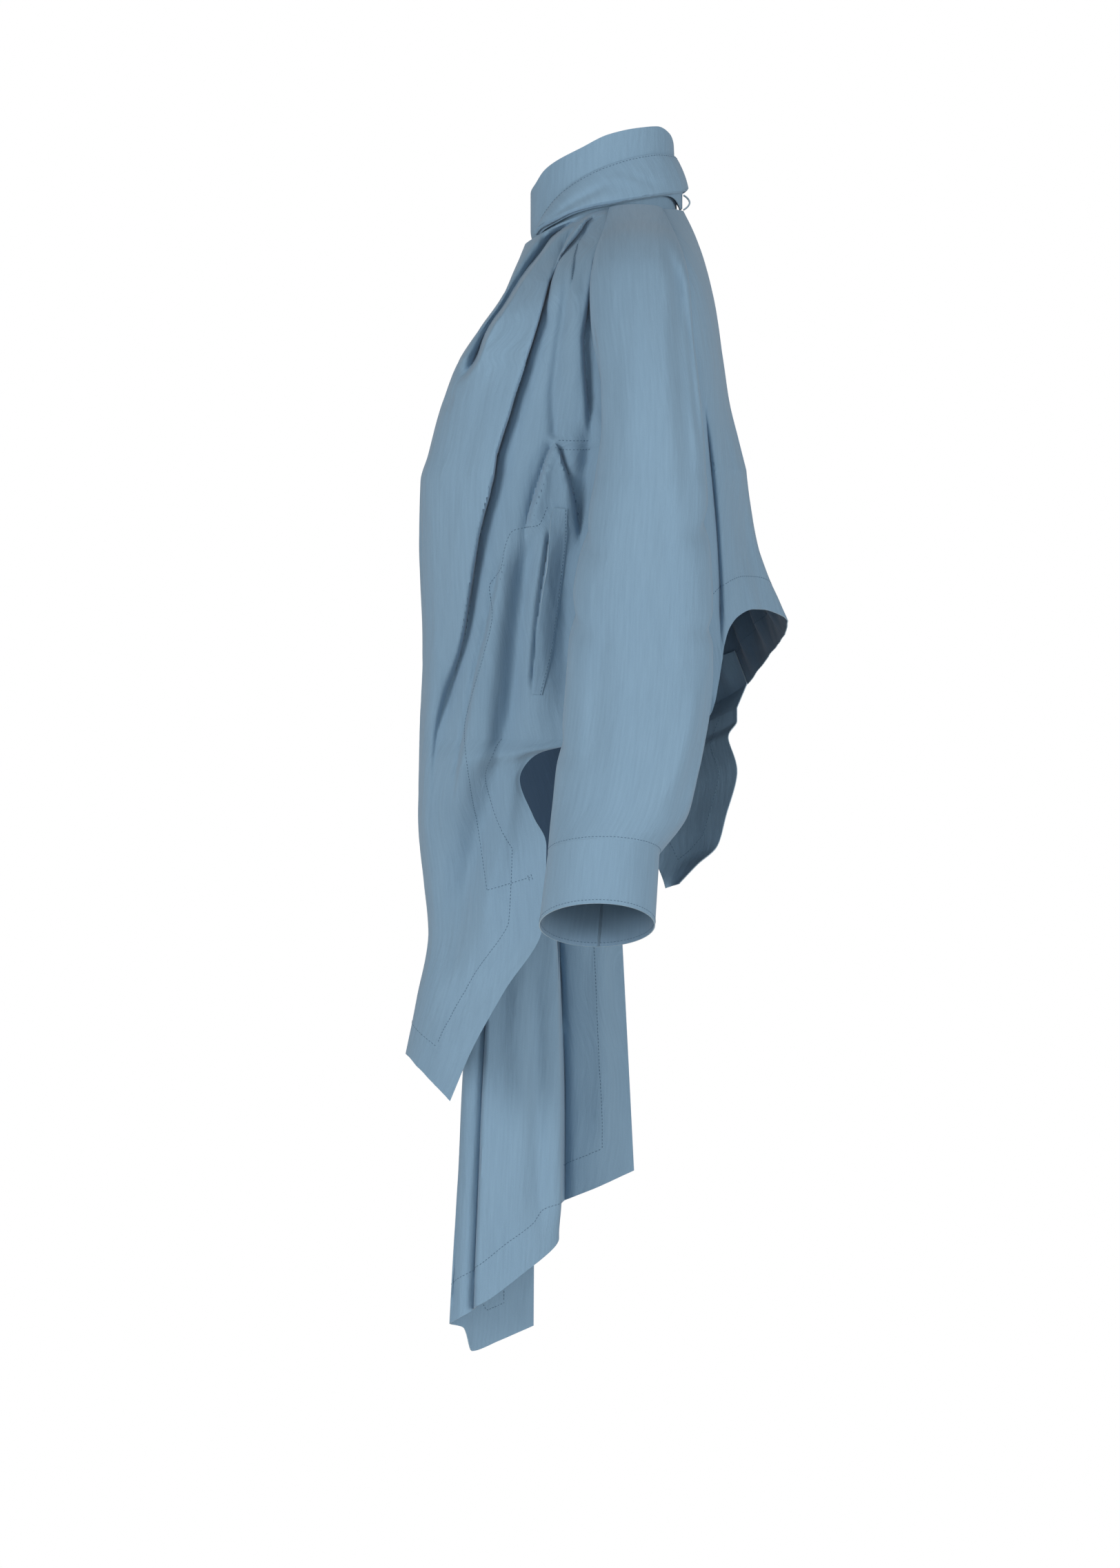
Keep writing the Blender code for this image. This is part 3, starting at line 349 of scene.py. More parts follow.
# Folds seen from the front: troughs only, so that the ridges between them keep the outline.
LEFT_CHEST_CREASES = [
    # height, width, start, end, path of (x, z)
    (-8, 12, 0.15, 0.3, [(8, -50), (-8, -160), (-24, -300), (-34, -460), (-36, -600)]),
    (-6, 10, 0.2, 0.4, [(40, -80), (28, -200), (14, -340), (6, -500), (4, -640)]),
    (-8, 15, 0.2, 0.3, [(-46, -110), (-62, -260), (-64, -420), (-56, -580)]),
    (-5, 10, 0.3, 0.3, [(94, -190), (96, -320), (86, -460)]),
    (-4, 7, 0.3, 0.3, [(62, -60), (84, -110), (104, -170)]),
]
RIGHT_CHEST_CREASES = [
    (-7, 11, 0.2, 0.3, [(-112, -50), (-124, -160), (-130, -280), (-132, -420)]),
    (-6, 10, 0.2, 0.3, [(-78, -70), (-88, -200), (-94, -340), (-98, -460)]),
    (-5, 9, 0.3, 0.3, [(-152, -200), (-156, -320), (-152, -440)]),
]
LEFT_SLEEVE_FRONT_CREASES = [
    (-4, 8, 0.3, 0.3, [(212, -240), (246, -290), (290, -322)]),
    (-5, 9, 0.3, 0.3, [(224, -320), (266, -366), (312, -392)]),
    (-3, 9, 0.3, 0.3, [(246, -430), (288, -474), (336, -500)]),
    (-4, 10, 0.3, 0.3, [(196, -90), (214, -170), (222, -230)]),
]
LEFT_SLEEVE_REAR_CREASES = [
    (-5, 9, 0.3, 0.3, [(204, -250), (244, -280), (286, -300)]),
    (-4, 8, 0.3, 0.3, [(220, -340), (262, -372), (306, -380)]),
    (-4, 10, 0.3, 0.3, [(258, -420), (280, -480), (300, -540)]),
]
RIGHT_FRONT_CREASES = [
    (-8, 13, 0.1, 0.3, [(-20, -6), (-50, -50), (-72, -120), (-88, -220), (-96, -320)]),
    (7, 13, 0.1, 0.3, [(-30, -12), (-64, -60), (-90, -130), (-104, -230), (-112, -330)]),
    (-6, 12, 0.2, 0.3, [(-16, -40), (-34, -110), (-48, -200), (-56, -320)]),
    (5, 14, 0.3, 0.3, [(-30, -240), (-44, -330), (-54, -430), (-62, -520)]),
    (-4, 13, 0.3, 0.2, [(-84, -640), (-88, -740), (-90, -840), (-92, -940)]),
    (4, 9, 0.3, 0.2, [(-70, -660), (-70, -760), (-68, -860), (-66, -930)]),
    (-4, 10, 0.3, 0.2, [(-12, -600), (-10, -690), (-8, -780), (-8, -860)]),
]
WRAP_CREASES = [
    # height, width, start, end, path of (y, z)
    (-2.2, 4, 0.3, 0.3, [(-60, -2), (-40, 12), (-18, 24), (0, 34)]),
    (1.6, 6, 0.3, 0.3, [(-58, -8), (-36, 6), (-10, 17), (20, 24)]),
    (-1.6, 5, 0.3, 0.3, [(10, 40), (28, 34), (46, 28)]),
    (1.4, 6, 0.3, 0.3, [(-6, 38), (14, 34), (34, 40)]),
]
HEM = 31  # width of the bottom hems
TAIL_HEM = 21
LAP_EDGE = 3.6  # half the run of a lap's edge
INNER_LOW, INNER_HIGH = -640, -570  # z where the painted shade on the inside of the body ends and where it is full
BACK_INNER_LOW, BACK_INNER_HIGH = -455, -395  # the same for the back
SLEEVE_INNER_SHADE = 0.3  # share of that painted shade inside the sleeves
SHARP_ANGLE = 62  # degrees between faces from which an edge of the cloth is sharp
RIM_STITCH = 3.5  # how far the cuff's rim stitching lies from the rim
STITCH, STITCH_GAP, THREAD = 2.3, 0.9, 0.26  # length and spacing of the stitches, radius of the thread
STITCH_SPOTS = (-0.5, -0.28, 0.28, 0.5)  # where a stitch dips, is up, is up and dips, as shares of its length
SEAM_STITCH, WELT_STITCH, WRAP_STITCH = 2.2, 1.4, 1.5  # how far topstitching lies from its seam or edge
LINE_STEP = 1.6  # spacing of the points of a line that follows no edge
CORNER_SLACK, LEAST_POINTS = 0.4, 4  # how far two lines may overlap at a corner; fewer points make no line
# Stitching of the left front that follows no edge, as seen from the side.
LEFT_FRONT_STITCHING = [
    [(-50.6, -203), (-36, -203.5), (-22, -203)],  # the pinch
    [(-50.6, -211), (-36, -211.5), (-22, -211)],
    [(-33, -25), (-37, -42), (-38, -59)],
    [(-60, -262), (-64, -272), (-68, -279), (-80, -281), (-91, -284), (-98, -300), (-101, -317), (-112, -334),
     (-109, -357), (-116, -392), (-127, -430), (-134, -462), (-129, -516), (-122, -552), (-114, -606)],  # pocket bag
    [(-114, -606), (-94, -600), (-74, -594)],
    [(-75, -591), (-73, -597)],  # bar tack
    [(-78, -592), (-76, -598)],
]

# ---- colours, weave, light and camera ----
DYE_DEEP, DYE_LIGHT = (0.218, 0.346, 0.470), (0.237, 0.370, 0.495)
PAINTED_INNER_SHADE_TONE = (0.22, 0.27, 0.34, 1)  # painted shade: how much darker the inside of the body is drawn, where little light reaches in
# Thread colour: partly the thread's own tone, partly painted shade of the stitches' shadow and puckers.
THREAD_AND_SHADE_DEEP, THREAD_AND_SHADE_LIGHT = (0.075, 0.135, 0.205), (0.11, 0.19, 0.27)
EDGE_DEEP, EDGE_LIGHT = (0.33, 0.45, 0.54), (0.42, 0.54, 0.62)
RAMP_ENDS = (0.3, 0.7)
DYE_LAYERS = [
    # stretch, scale, detail, dark tone, share
    (0.05, 420, 2, (0.86, 0.87, 0.88), 0.55),  # slubs
    (1, 1500, 1, (0.88, 0.88, 0.88), 0.6),  # threads
]
RELIEF_LAYERS = [
    # strength, distance in metres, stretch, scale, detail, roughness, distortion
    (0.5, 0.0018, 0.35, 60, 2, 0.5, 0.6),  # puckers
    (0.7, 0.0007, 0.16, 210, 3, 0.6, 0.4),  # crepe
    (0.4, 0.0002, 1, 1400, 1),  # weave
]
VIEW_HEIGHT = 1421.25  # what the picture shows from top to bottom
AIM, CAMERA_AWAY = (0, -48.75, -510.6), 14000
SENSOR = 36
FLOOR_Z, FLOOR_RADIUS = -1550, 2.6  # the radius in metres
DOME_REAR = -0.6  # where the light of the rear begins to change: -1 is straight behind, 1 straight ahead
LIGHTS = [
    # name, place, size in metres, watts
    ("key", (3900, -3500, 300), 2.0, 122),
    ("side", (3500, 3900, 300), 2.0, 112),
    ("front", (5400, 300, 200), 2.4, 42),
    ("far", (-4600, -600, 1200), 3.0, 40),
]


# ---- curves and grids ----
def smooth(keys, values, at):
    """Values at the given places of a curve through the key values that never swings past them."""
    keys, values = np.asarray(keys, float), np.asarray(values, float)
    flat = values.ndim == 1
    values = values.reshape(len(keys), -1)
    at = np.clip(np.asarray(at, float), keys[0], keys[-1])
    step = np.diff(keys)[:, None]
    slope = np.diff(values, axis=0) / step
    before, after = slope[:-1], slope[1:]
    near, far = 2 * step[1:] + step[:-1], step[1:] + 2 * step[:-1]
    same = before * after > LEVEL
    mean = (near + far) / (near / np.where(same, before, 1.0) + far / np.where(same, after, 1.0))
    tangent = np.concatenate([slope[:1], np.where(same, mean, 0.0), slope[-1:]])
    place = np.clip(np.searchsorted(keys, at, side="right") - 1, 0, len(keys) - 2)
    h = step[place]
    t = ((at - keys[place]) / h[:, 0])[:, None]
    out = (
        values[place] * (1 + 2 * t) * (1 - t) ** 2
        + values[place + 1] * t**2 * (3 - 2 * t)
        + tangent[place] * h * t * (1 - t) ** 2
        - tangent[place + 1] * h * t**2 * (1 - t)
    )
    return out[:, 0] if flat else out


def read_table(table, places):
    """Rows of a table at the given places, which its first column holds."""
    table = np.array(table, float)
    return smooth(table[:, 0], table[:, 1:], places)


def read_rows(table, count):
    """Evenly spaced rows of a table without places."""
    return smooth(range(len(table)), table, np.linspace(0, len(table) - 1, count))


def points_of(x, y, z):
    return np.stack([x, y, z], axis=1)


def between(places, keys, points):
    """Points at the given places of a line whose points lie at the key places."""
    return points_of(*(np.interp(places, keys, points[:, i]) for i in range(3)))


def reach_of(points):
    """How far along a line each of its points lies."""
    return np.concatenate([[0], np.cumsum(np.linalg.norm(np.diff(points, axis=0), axis=1))])


def unit(vectors):
    return vectors / np.maximum(np.linalg.norm(vectors, axis=-1, keepdims=True), TINY)


def soft_step(value, low, high):
    t = np.clip((value - low) / (high - low), 0, 1)
    return t * t * (3 - 2 * t)


def mirrored(points):
    return points * np.array([-1.0, 1.0, 1.0])


class Sheet:
    """A sheet of cloth: a grid of middle points, rows by columns, and which way is out."""

    def __init__(self, name, grid, out=1, closed_from=None):
        self.name = name
        self.grid = np.array(grid, float)
        self.out = out
        self.closed_from = closed_from  # the row from which the last column is the first one again
        self.held = np.ones(self.grid.shape[:2])
        # painted shade of each point's inner face, as a share
        self.painted_inner_shade = np.zeros(self.grid.shape[:2])
        self.find_normals()

    def index(self):
        rows, columns = self.grid.shape[:2]
        index = np.arange(rows * columns).reshape(rows, columns)
        if self.closed_from is not None:
            index[self.closed_from :, -1] = index[self.closed_from :, 0]
        return index

    def faces(self):
        index = self.index()
        faces = np.stack([index[:-1, :-1], index[1:, :-1], index[1:, 1:], index[:-1, 1:]], axis=-1).reshape(-1, 4)
        return faces if self.out > 0 else faces[:, ::-1]

    def find_normals(self):
        points = self.grid.reshape(-1, 3)
        faces = self.faces()
        a, b, c, d = (points[faces[:, i]] for i in range(4))
        face_normal = np.cross(c - a, d - b)
        normals = np.zeros_like(points)
        for i in range(4):
            np.add.at(normals, faces[:, i], face_normal)
        self.normals = unit(normals[self.index().reshape(-1)]).reshape(self.grid.shape)


def pair(name, grid, closed_from):
    """The left sheet and its mirror image."""
    right = Sheet("right_" + name, mirrored(grid), -1, closed_from)
    return Sheet("left_" + name, grid, 1, closed_from), right


def share_normals(sheets):
    """Gives the sheets that meet on a seam one common normal along it, so that their edges stand parallel."""
    found = {}
    for sheet in sheets:
        for place in np.ndindex(sheet.grid.shape[:2]):
            key = tuple(np.round(sheet.grid[place], 2))
            found.setdefault(key, []).append((sheet, place))
    for meeting in found.values():
        if len({sheet.name for sheet, _ in meeting}) < 2:
            continue
        common = unit(sum(sheet.normals[place] for sheet, place in meeting))
        for sheet, place in meeting:
            sheet.normals[place] = common


# ---- forms of the sheets ----
def sleeve_section(row):
    """Points of one sleeve section, from its front seam over the top to its back seam."""
    outer_x, outer_z, inner_x, inner_z, front_y, back_y, openness = row
    turn = np.linspace(-math.pi, math.pi, SLEEVE_TURNS + 1)
    swing = openness * np.sin(turn / 2) + (1 - openness) * np.sin(turn)
    swing /= np.abs(swing).max()
    out = (1 - openness) * (1 + np.cos(turn)) / 2 + openness * np.cos(turn / 2) ** SLEEVE_CROWN
    x = inner_x + (outer_x - inner_x) * out
    z = inner_z + (outer_z - inner_z) * out
    return points_of(x, (front_y + back_y) / 2 + (back_y - front_y) / 2 * swing, z)


def sleeve_grid():
    upper = np.linspace(0, UNDERARM_ROW, ARM_ROWS + 1)
    lower = np.linspace(UNDERARM_ROW, len(SLEEVE) - 1, SLEEVE_ROWS + 1)[1:]
    rows = smooth(range(len(SLEEVE)), SLEEVE, np.concatenate([upper, lower]))
    return np.array([sleeve_section(row) for row in rows])


def cuff_grid():
    seam, rim = np.array([SLEEVE[-1], CUFF_RIM], float)
    return np.array([sleeve_section(seam + (rim - seam) * t) for t in np.linspace(0, 1, CUFF_ROWS + 1)])


def lap():
    """How far in the edges of the front and the back lie under the edge of the sleeve, for each row of the armhole."""
    lean = np.radians(smooth(*zip(*SEAM_LEAN), np.linspace(0, 1, ARM_ROWS + 1)))
    return points_of(-np.sin(lean), 0 * lean, -np.cos(lean)) * (SHELL + CLEAR)


def panel_leg(edge, peak, place, panel, count, lift=0):
    """Points of one section of a panel, from its side edge, which it leaves at a slant, to its peak, where it ends
    square. The panel is its column in ROUNDING; lift is the share of NECK_LIFT."""
    slant = math.radians(float(smooth(*zip(*PANEL_SLANT), [place])[0]))
    t = np.linspace(slant, math.pi / 2, count)
    fall = (np.cos(t) / np.cos(t[0])) ** float(read_table(ROUNDING, [place])[0, panel])
    swing = (np.sin(t) - np.sin(t[0])) / (1 - np.sin(t[0]))
    y, z = (edge[i] + (peak[i] - edge[i]) * swing for i in (1, 2))
    return points_of(peak[0] + (edge[0] - peak[0]) * fall, y, z + NECK_LIFT * np.sin(swing * math.pi) * lift)


def front_section(edge, front, far, count, turn_share, place, panel):
    """Points of one section of a front panel: edge to foremost point, then to the far edge."""
    first = int(round(count * turn_share))
    leg = panel_leg(edge, front, place, panel, first + 1, max(1 - place / NECK_LIFT_END, 0) ** 2)
    t = np.linspace(0, math.pi / 2, count - first + 1)[1:]
    return np.concatenate([leg, front + (far - front) * points_of(np.sin(t), 1 - np.cos(t), 1 - np.cos(t))])


def side_seam(places):
    """Points of the left side seam."""
    return read_table(LEFT_EDGE[:SIDE_ROWS], places)


def panel_rows(armhole, edge_table, row_table, lower, side):
    """Edge points of every row of a front panel, the rest of its table and the rows' places."""
    places = np.concatenate([np.linspace(0, 1, ARM_ROWS + 1), lower])
    on_seam = lower < SEAM_END
    seam = side_seam(lower[on_seam])
    free = read_table(edge_table[SIDE_ROWS - 1 :], lower[~on_seam])
    edges = np.concatenate([armhole, seam if side > 0 else mirrored(seam), free])
    return edges, read_table(row_table, places), places


def finer(places):
    """The same places with more of them in between, without the first."""
    count = (len(places) - 1) * FINER + 1
    return np.interp(np.linspace(0, len(places) - 1, count), range(len(places)), places)[1:]


def left_front_grid(armhole):
    edges, rest, places = panel_rows(armhole, LEFT_EDGE, LEFT_FRONT, finer(LEFT_LOWER), 1)
    return np.array(
        [
            front_section(edge, row[:3], row[3:], FRONT_COLUMNS, LEFT_TURN, place, 0)
            for edge, row, place in zip(edges, rest, places)
        ]
    )


def curl(start, half_turns, length, count):
    """Points that run on from the fold line, turn outward by so many half turns and run on for a length."""
    bend = math.pi * CURL_RADIUS
    s = np.linspace(0, 1, count + 1) ** CURL_BUNCH * (bend + length)
    fine = np.linspace(0, bend + length, CURL_STEPS)
    heading = -math.pi * half_turns * np.clip(fine / bend, 0, 1)
    x, y = (np.concatenate([[0], np.cumsum(way(heading[:-1]) * fine[1])]) for way in (np.cos, np.sin))
    return (points_of(np.interp(s, fine, x), np.interp(s, fine, y), np.zeros(count + 1)) + start)[1:]


def right_front_grid(armhole):
    table = [*RIGHT_FRONT, (3, *RIGHT_FRONT[-1][1:])]
    edges, rest, places = panel_rows(armhole, RIGHT_EDGE, table, finer(RIGHT_LOWER), -1)
    x, top_y, hem_y, hem_z = read_table(PLEATS, np.linspace(0, 1, FRONT_COLUMNS + 1)).T
    curled = int(round(FRONT_COLUMNS * CURL_SHARE))
    rows = []
    for edge, section, place in zip(edges, rest, places):
        row = front_section(edge, section[:3], section[3:6], FRONT_COLUMNS - curled, RIGHT_TURN, place, 1)
        row = np.concatenate([row, curl(row[-1], section[6], section[7], curled)])
        row[:, 2] += (hem_z - row[:, 2]) * max(place - 2, 0.0)
        z = row[:, 2]
        settled = soft_step(z, PLEATS_START, PLEATS_SET)[:, None]
        if place <= 2:
            settled[0] = 0
        low = np.clip((PLEATS_SET - z) / (PLEATS_SET - hem_z), 0, 1)
        rows.append(row + (points_of(x, top_y + (hem_y - top_y) * low, z) - row) * settled)
    return np.array(rows)


def back_section(left, rear, place):
    """Points of one section of the back, from the left seam to the right one."""
    halves = [panel_leg(edge, rear, place, 2, BACK_COLUMNS // 2 + 1) for edge in (left, mirrored(left))]
    return np.concatenate([halves[0], halves[1][::-1][1:]])


def back_grid(armhole):
    places = np.linspace(0, 1, ARM_ROWS + 1)
    rears = read_table(BACK, places)
    rows = [back_section(edge, rear, place) for edge, rear, place in zip(armhole, rears, places)]
    hem_row = read_table(BACK_HEM, np.linspace(0, 1, BACK_COLUMNS + 1))
    top = rows[-1]
    for place in np.linspace(1, 2, BACK_ROWS)[1:]:
        row = top + (hem_row - top) * (place - 1)
        out = np.clip((row[:, 1] - row[0, 1]) / (row[:, 1].max() - row[0, 1]), 0, 1)
        row[:, 1] -= BACK_HOLLOW * math.sin(math.pi * (place - 1)) * out
        row[0] = side_seam([place])[0]
        row[-1] = mirrored(row[0])
        rows.append(row)
    return np.array(rows)


def tail_grid(back):
    """The tail: its head lies inside the hem of the back, the rest hangs free."""
    across = np.linspace(0, 1, TAIL_COLUMNS + 1)[:, None]
    height, reach = back.grid.shape[:2]
    columns = np.linspace(*TAIL_REACH, TAIL_COLUMNS + 1) * (reach - 1)
    rows = []
    for up in np.linspace(*TAIL_HEAD, TAIL_HEAD_ROWS):
        place = ARM_ROWS + up * (height - 1 - ARM_ROWS)
        low = int(min(place, height - 2))
        share = place - low
        line, out = (part[low] * (1 - share) + part[low + 1] * share for part in (back.grid, back.normals))
        rows.append(between(columns, range(reach), line + unit(out) * -(SHELL + CLEAR)))
    for row in read_rows(BACK_TAIL, TAIL_ROWS):
        points = row[:3] + (row[3:] - row[:3]) * across
        rows.append(points - np.array([1, 0, 0]) * np.sin(across * math.pi) * TAIL_BOW)
    return np.array(rows)


def collar_ends(angle):
    """z of the top and of the foot of the collar at an angle."""
    top = smooth(*zip(*COLLAR_TOP), np.minimum(angle, 360 - angle))
    foot = COLLAR_FOOT_FRONT + (COLLAR_FOOT_BACK - COLLAR_FOOT_FRONT) * (1 - np.cos(np.radians(angle))) / 2
    return top, foot


def ring_points(angle, share, out, z):
    """Points round the neck at a share of the collar's height, so far out from its middle surface."""
    half_width, front_y, back_y = read_table(COLLAR, share).T
    middle, depth = (front_y + back_y) / 2, (back_y - front_y) / 2
    x = (half_width + out) * np.sin(np.radians(angle))
    return points_of(x, middle - (depth + out) * np.cos(np.radians(angle)), z)


def collar_grid():
    angle = np.linspace(0, 360, COLLAR_TURNS + 1)
    top, foot = collar_ends(angle)
    shares = np.linspace(0, 1, COLLAR_ROWS)
    return np.array([ring_points(angle, [share], 0, foot + (top - foot) * share) for share in shares])


def wrap_grid():
    angle = np.linspace(WRAP_START, 360 - WRAP_START, COLLAR_TURNS)
    folded = np.minimum(angle, 360 - angle)
    top, foot = (smooth(*zip(*table), folded) for table in (WRAP_TOP, WRAP_FOOT))
    collar_top, collar_foot = collar_ends(angle)
    fullness = WRAP_THIN + (1 - WRAP_THIN) * np.clip((folded - WRAP_START) / WRAP_GROWS, 0, 1)
    nape = np.clip((folded - NAPE_START) / NAPE_GROWS, 0, 1) ** 2
    rows = []
    for share, drop, out, rear_drop in read_rows(WRAP, WRAP_ROWS):
        z = top + (foot - top) * share - drop - rear_drop * nape
        height = np.clip((z - collar_foot) / (collar_top - collar_foot), 0, 1)
        rows.append(ring_points(angle, height, WRAP_LEAST + (out - WRAP_LEAST) * fullness, z))
    return np.array(rows)


def loop_grid():
    """A short turned strip, bent outward below the wrap at the nape."""
    across = np.linspace(-LOOP_HALF, LOOP_HALF, LOOP_COLUMNS)
    rows = []
    for t in np.linspace(0, 1, LOOP_ROWS):
        z = LOOP_TOP + (LOOP_FOOT - LOOP_TOP) * t
        y = LOOP_BACK + LOOP_OUT * math.sin(math.pi * t) ** LOOP_BEND
        y = y - (across / LOOP_ROUND[0]) ** 2 * LOOP_ROUND[1]
        rows.append(points_of(across, y, np.full(LOOP_COLUMNS, z)))
    return np.array(rows)


# ---- folds ----
def smooth_path(path, count=PATH_POINTS):
    """The path as a smooth curve of evenly placed points."""
    reach = reach_of(np.asarray(path, float))
    return smooth(reach, path, np.linspace(0, reach[-1], count))


def line_distance(across, down, path):
    """Signed distance from each place of a view to a fold's path, positive to the front, the share of the path at the
    nearest point, and the direction straight away from the path there."""
    path = smooth_path(path)
    best = np.full(across.shape, FAR)
    signed, along = np.zeros(across.shape), np.zeros(across.shape)
    away = np.zeros((*across.shape, 2))
    lengths = np.linalg.norm(np.diff(path, axis=0), axis=1)
    done = 0.0
    for start, end, length in zip(path[:-1], path[1:], lengths):
        run = (end - start) / length
        off_a, off_b = across - start[0], down - start[1]
        t = np.clip(off_a * run[0] + off_b * run[1], 0, length)
        dist = np.hypot(off_a - t * run[0], off_b - t * run[1])
        side = np.sign(off_a * run[1] - off_b * run[0])
        nearer = dist < best
        best = np.where(nearer, dist, best)
        signed = np.where(nearer, dist * side, signed)
        along = np.where(nearer, (done + t) / lengths.sum(), along)
        away[nearer] = (run[1], -run[0])
        done += length
    return signed, along, away


def tapered(along, start, end):
    return soft_step(along, 0, start) * soft_step(1 - along, 0, end)


def lap_shift(across, down, lap_row):
    """How far one lap lifts the cloth at each place of a view, and how far its lip leans over the low side."""
    high, ridge, ridge_width, valley, valley_width, lean, start, end, path = lap_row
    signed, along, away = line_distance(across, down, path)
    signed = signed * high
    growth = LAP_START + (1 - LAP_START) * soft_step(along, 0, LAP_GROWN)
    strength = tapered(along, start, end)
    over = np.maximum(signed, 0)
    top = ridge * np.exp(-((over / (ridge_width * growth)) ** 2))
    under = np.minimum(signed, 0) / (valley_width * growth)
    low = -valley * sum(share * np.exp(-((under / width) ** 2)) for share, width in VALLEY_FORM)
    share = soft_step(signed, -LAP_EDGE, LAP_EDGE)
    lift = (top * share + low * (1 - share)) * strength
    slide = lean * share * np.exp(-((over / (LIP_REACH * max(lean, 1))) ** 2)) * strength
    return lift, -high * away * slide[..., None]


def crease_height(across, down, crease_row):
    height, width, start, end, path = crease_row
    signed, along, _ = line_distance(across, down, path)
    growth = CREASE_START + (1 - CREASE_START) * soft_step(along, 0, CREASE_GROWN)
    return height * np.exp(-((signed / (width * growth)) ** 2)) * tapered(along, start, end)


def grain_places(grid):
    """Distance across and down the cloth of every point of a grid."""
    across = np.linalg.norm(np.diff(grid, axis=1), axis=2)
    down = np.linalg.norm(np.diff(grid, axis=0), axis=2)
    u = np.concatenate([np.zeros((len(grid), 1)), np.cumsum(across, axis=1)], axis=1)
    v = np.concatenate([np.zeros((1, grid.shape[1])), np.cumsum(down, axis=0)])
    middle = grid.shape[1] // 2
    return u - u[:, middle : middle + 1], v


def ripple(grid):
    """Faint uneven ripples along the grain, for a height of 1."""
    u, v = grain_places(grid)
    flat = [
        sum(share * noise.noise(Vector((a / width, b / length, layer))) for width, length, layer, share in RIPPLES)
        for a, b in zip(u.reshape(-1), v.reshape(-1))
    ]
    return np.array(flat).reshape(u.shape)


def press(sheet, laps, creases, view, ripples=RIPPLE):
    """Presses folds into a sheet as a relief seen in one view."""
    (first, second), facing = view
    facing = np.array(facing, float)
    seen = soft_step(sheet.normals @ facing, 0, FACING_FADE) * sheet.held
    for row in laps:
        lift, slide = lap_shift(sheet.grid[..., first], sheet.grid[..., second], row)
        shift = lift[..., None] * facing
        shift[..., first] += slide[..., 0]
        shift[..., second] += slide[..., 1]
        sheet.grid = sheet.grid + shift * seen[..., None]
    across, down = sheet.grid[..., first], sheet.grid[..., second]
    lift = sum((crease_height(across, down, row) for row in creases), np.zeros(across.shape))
    sheet.grid = sheet.grid + (lift * seen)[..., None] * facing
    sheet.find_normals()
    if ripples:
        sheet.grid = sheet.grid + sheet.normals * (ripple(sheet.grid) * ripples * sheet.held)[..., None]
        sheet.find_normals()


def hold_edges(sheet, left, right, top):
    """Holds the edges on a seam; each is free again at that share of the sheet's size."""
    rows, columns = sheet.grid.shape[:2]
    u, v = np.linspace(0, 1, columns)[None], np.linspace(0, 1, rows)[:, None]
    for place, reach in ((u, left), (1 - u, right), (v, top)):
        if reach:
            sheet.held = sheet.held * soft_step(place, 0, reach)


# ---- stitching and pocket ----
def cross(first, second):
    return first[:, 0] * second[:, 1] - first[:, 1] * second[:, 0]


def place_on(sheet, places, view):
    """Points and normals of a sheet where it is seen at the given places of a view; a place beside it gives none."""
    axes, facing = view
    points, normals = sheet.grid.reshape(-1, 3), sheet.normals.reshape(-1, 3)
    faces = sheet.faces()
    triangles = np.concatenate([faces[:, [0, 1, 2]], faces[:, [0, 2, 3]]])
    corners = points[triangles][:, :, list(axes)]
    lowest, highest = corners.min(axis=1), corners.max(axis=1)
    height = points @ np.array(facing, float)
    found, out = [], []
    for place in places:
        near = np.flatnonzero(((lowest <= place) & (highest >= place)).all(axis=1))
        first = corners[near, 0]
        side_a, side_b, off = corners[near, 1] - first, corners[near, 2] - first, place - first
        area = cross(side_a, side_b)
        area = np.where(np.abs(area) < TINY, TINY, area)
        a, b = cross(off, side_b) / area, cross(side_a, off) / area
        inside = np.flatnonzero((a > -NEARLY) & (b > -NEARLY) & (a + b < 1 + NEARLY))
        if not len(inside):
            continue
        weights = points_of(1 - a - b, a, b)[inside]
        used = triangles[near[inside]]
        top = np.argmax((height[used] * weights).sum(axis=1))
        found.append(weights[top] @ points[used[top]])
        out.append(weights[top] @ normals[used[top]])
    return np.array(found), unit(np.array(out))


def seen_line(sheet, path, view):
    """A line of stitching that is given as it is seen in a view."""
    length = np.linalg.norm(np.diff(np.array(path, float), axis=0), axis=1).sum()
    return place_on(sheet, smooth_path(path, max(int(length / LINE_STEP), LEAST_POINTS)), view)


def from_edge(values, edge, start):
    """A sheet's values as rows that run in from one of its edges; those from a side edge begin at a row."""
    if edge in ("top", "bottom"):
        values = values.transpose(1, 0, 2)
    return (values[:, ::-1] if edge in ("right", "bottom") else values)[start:]


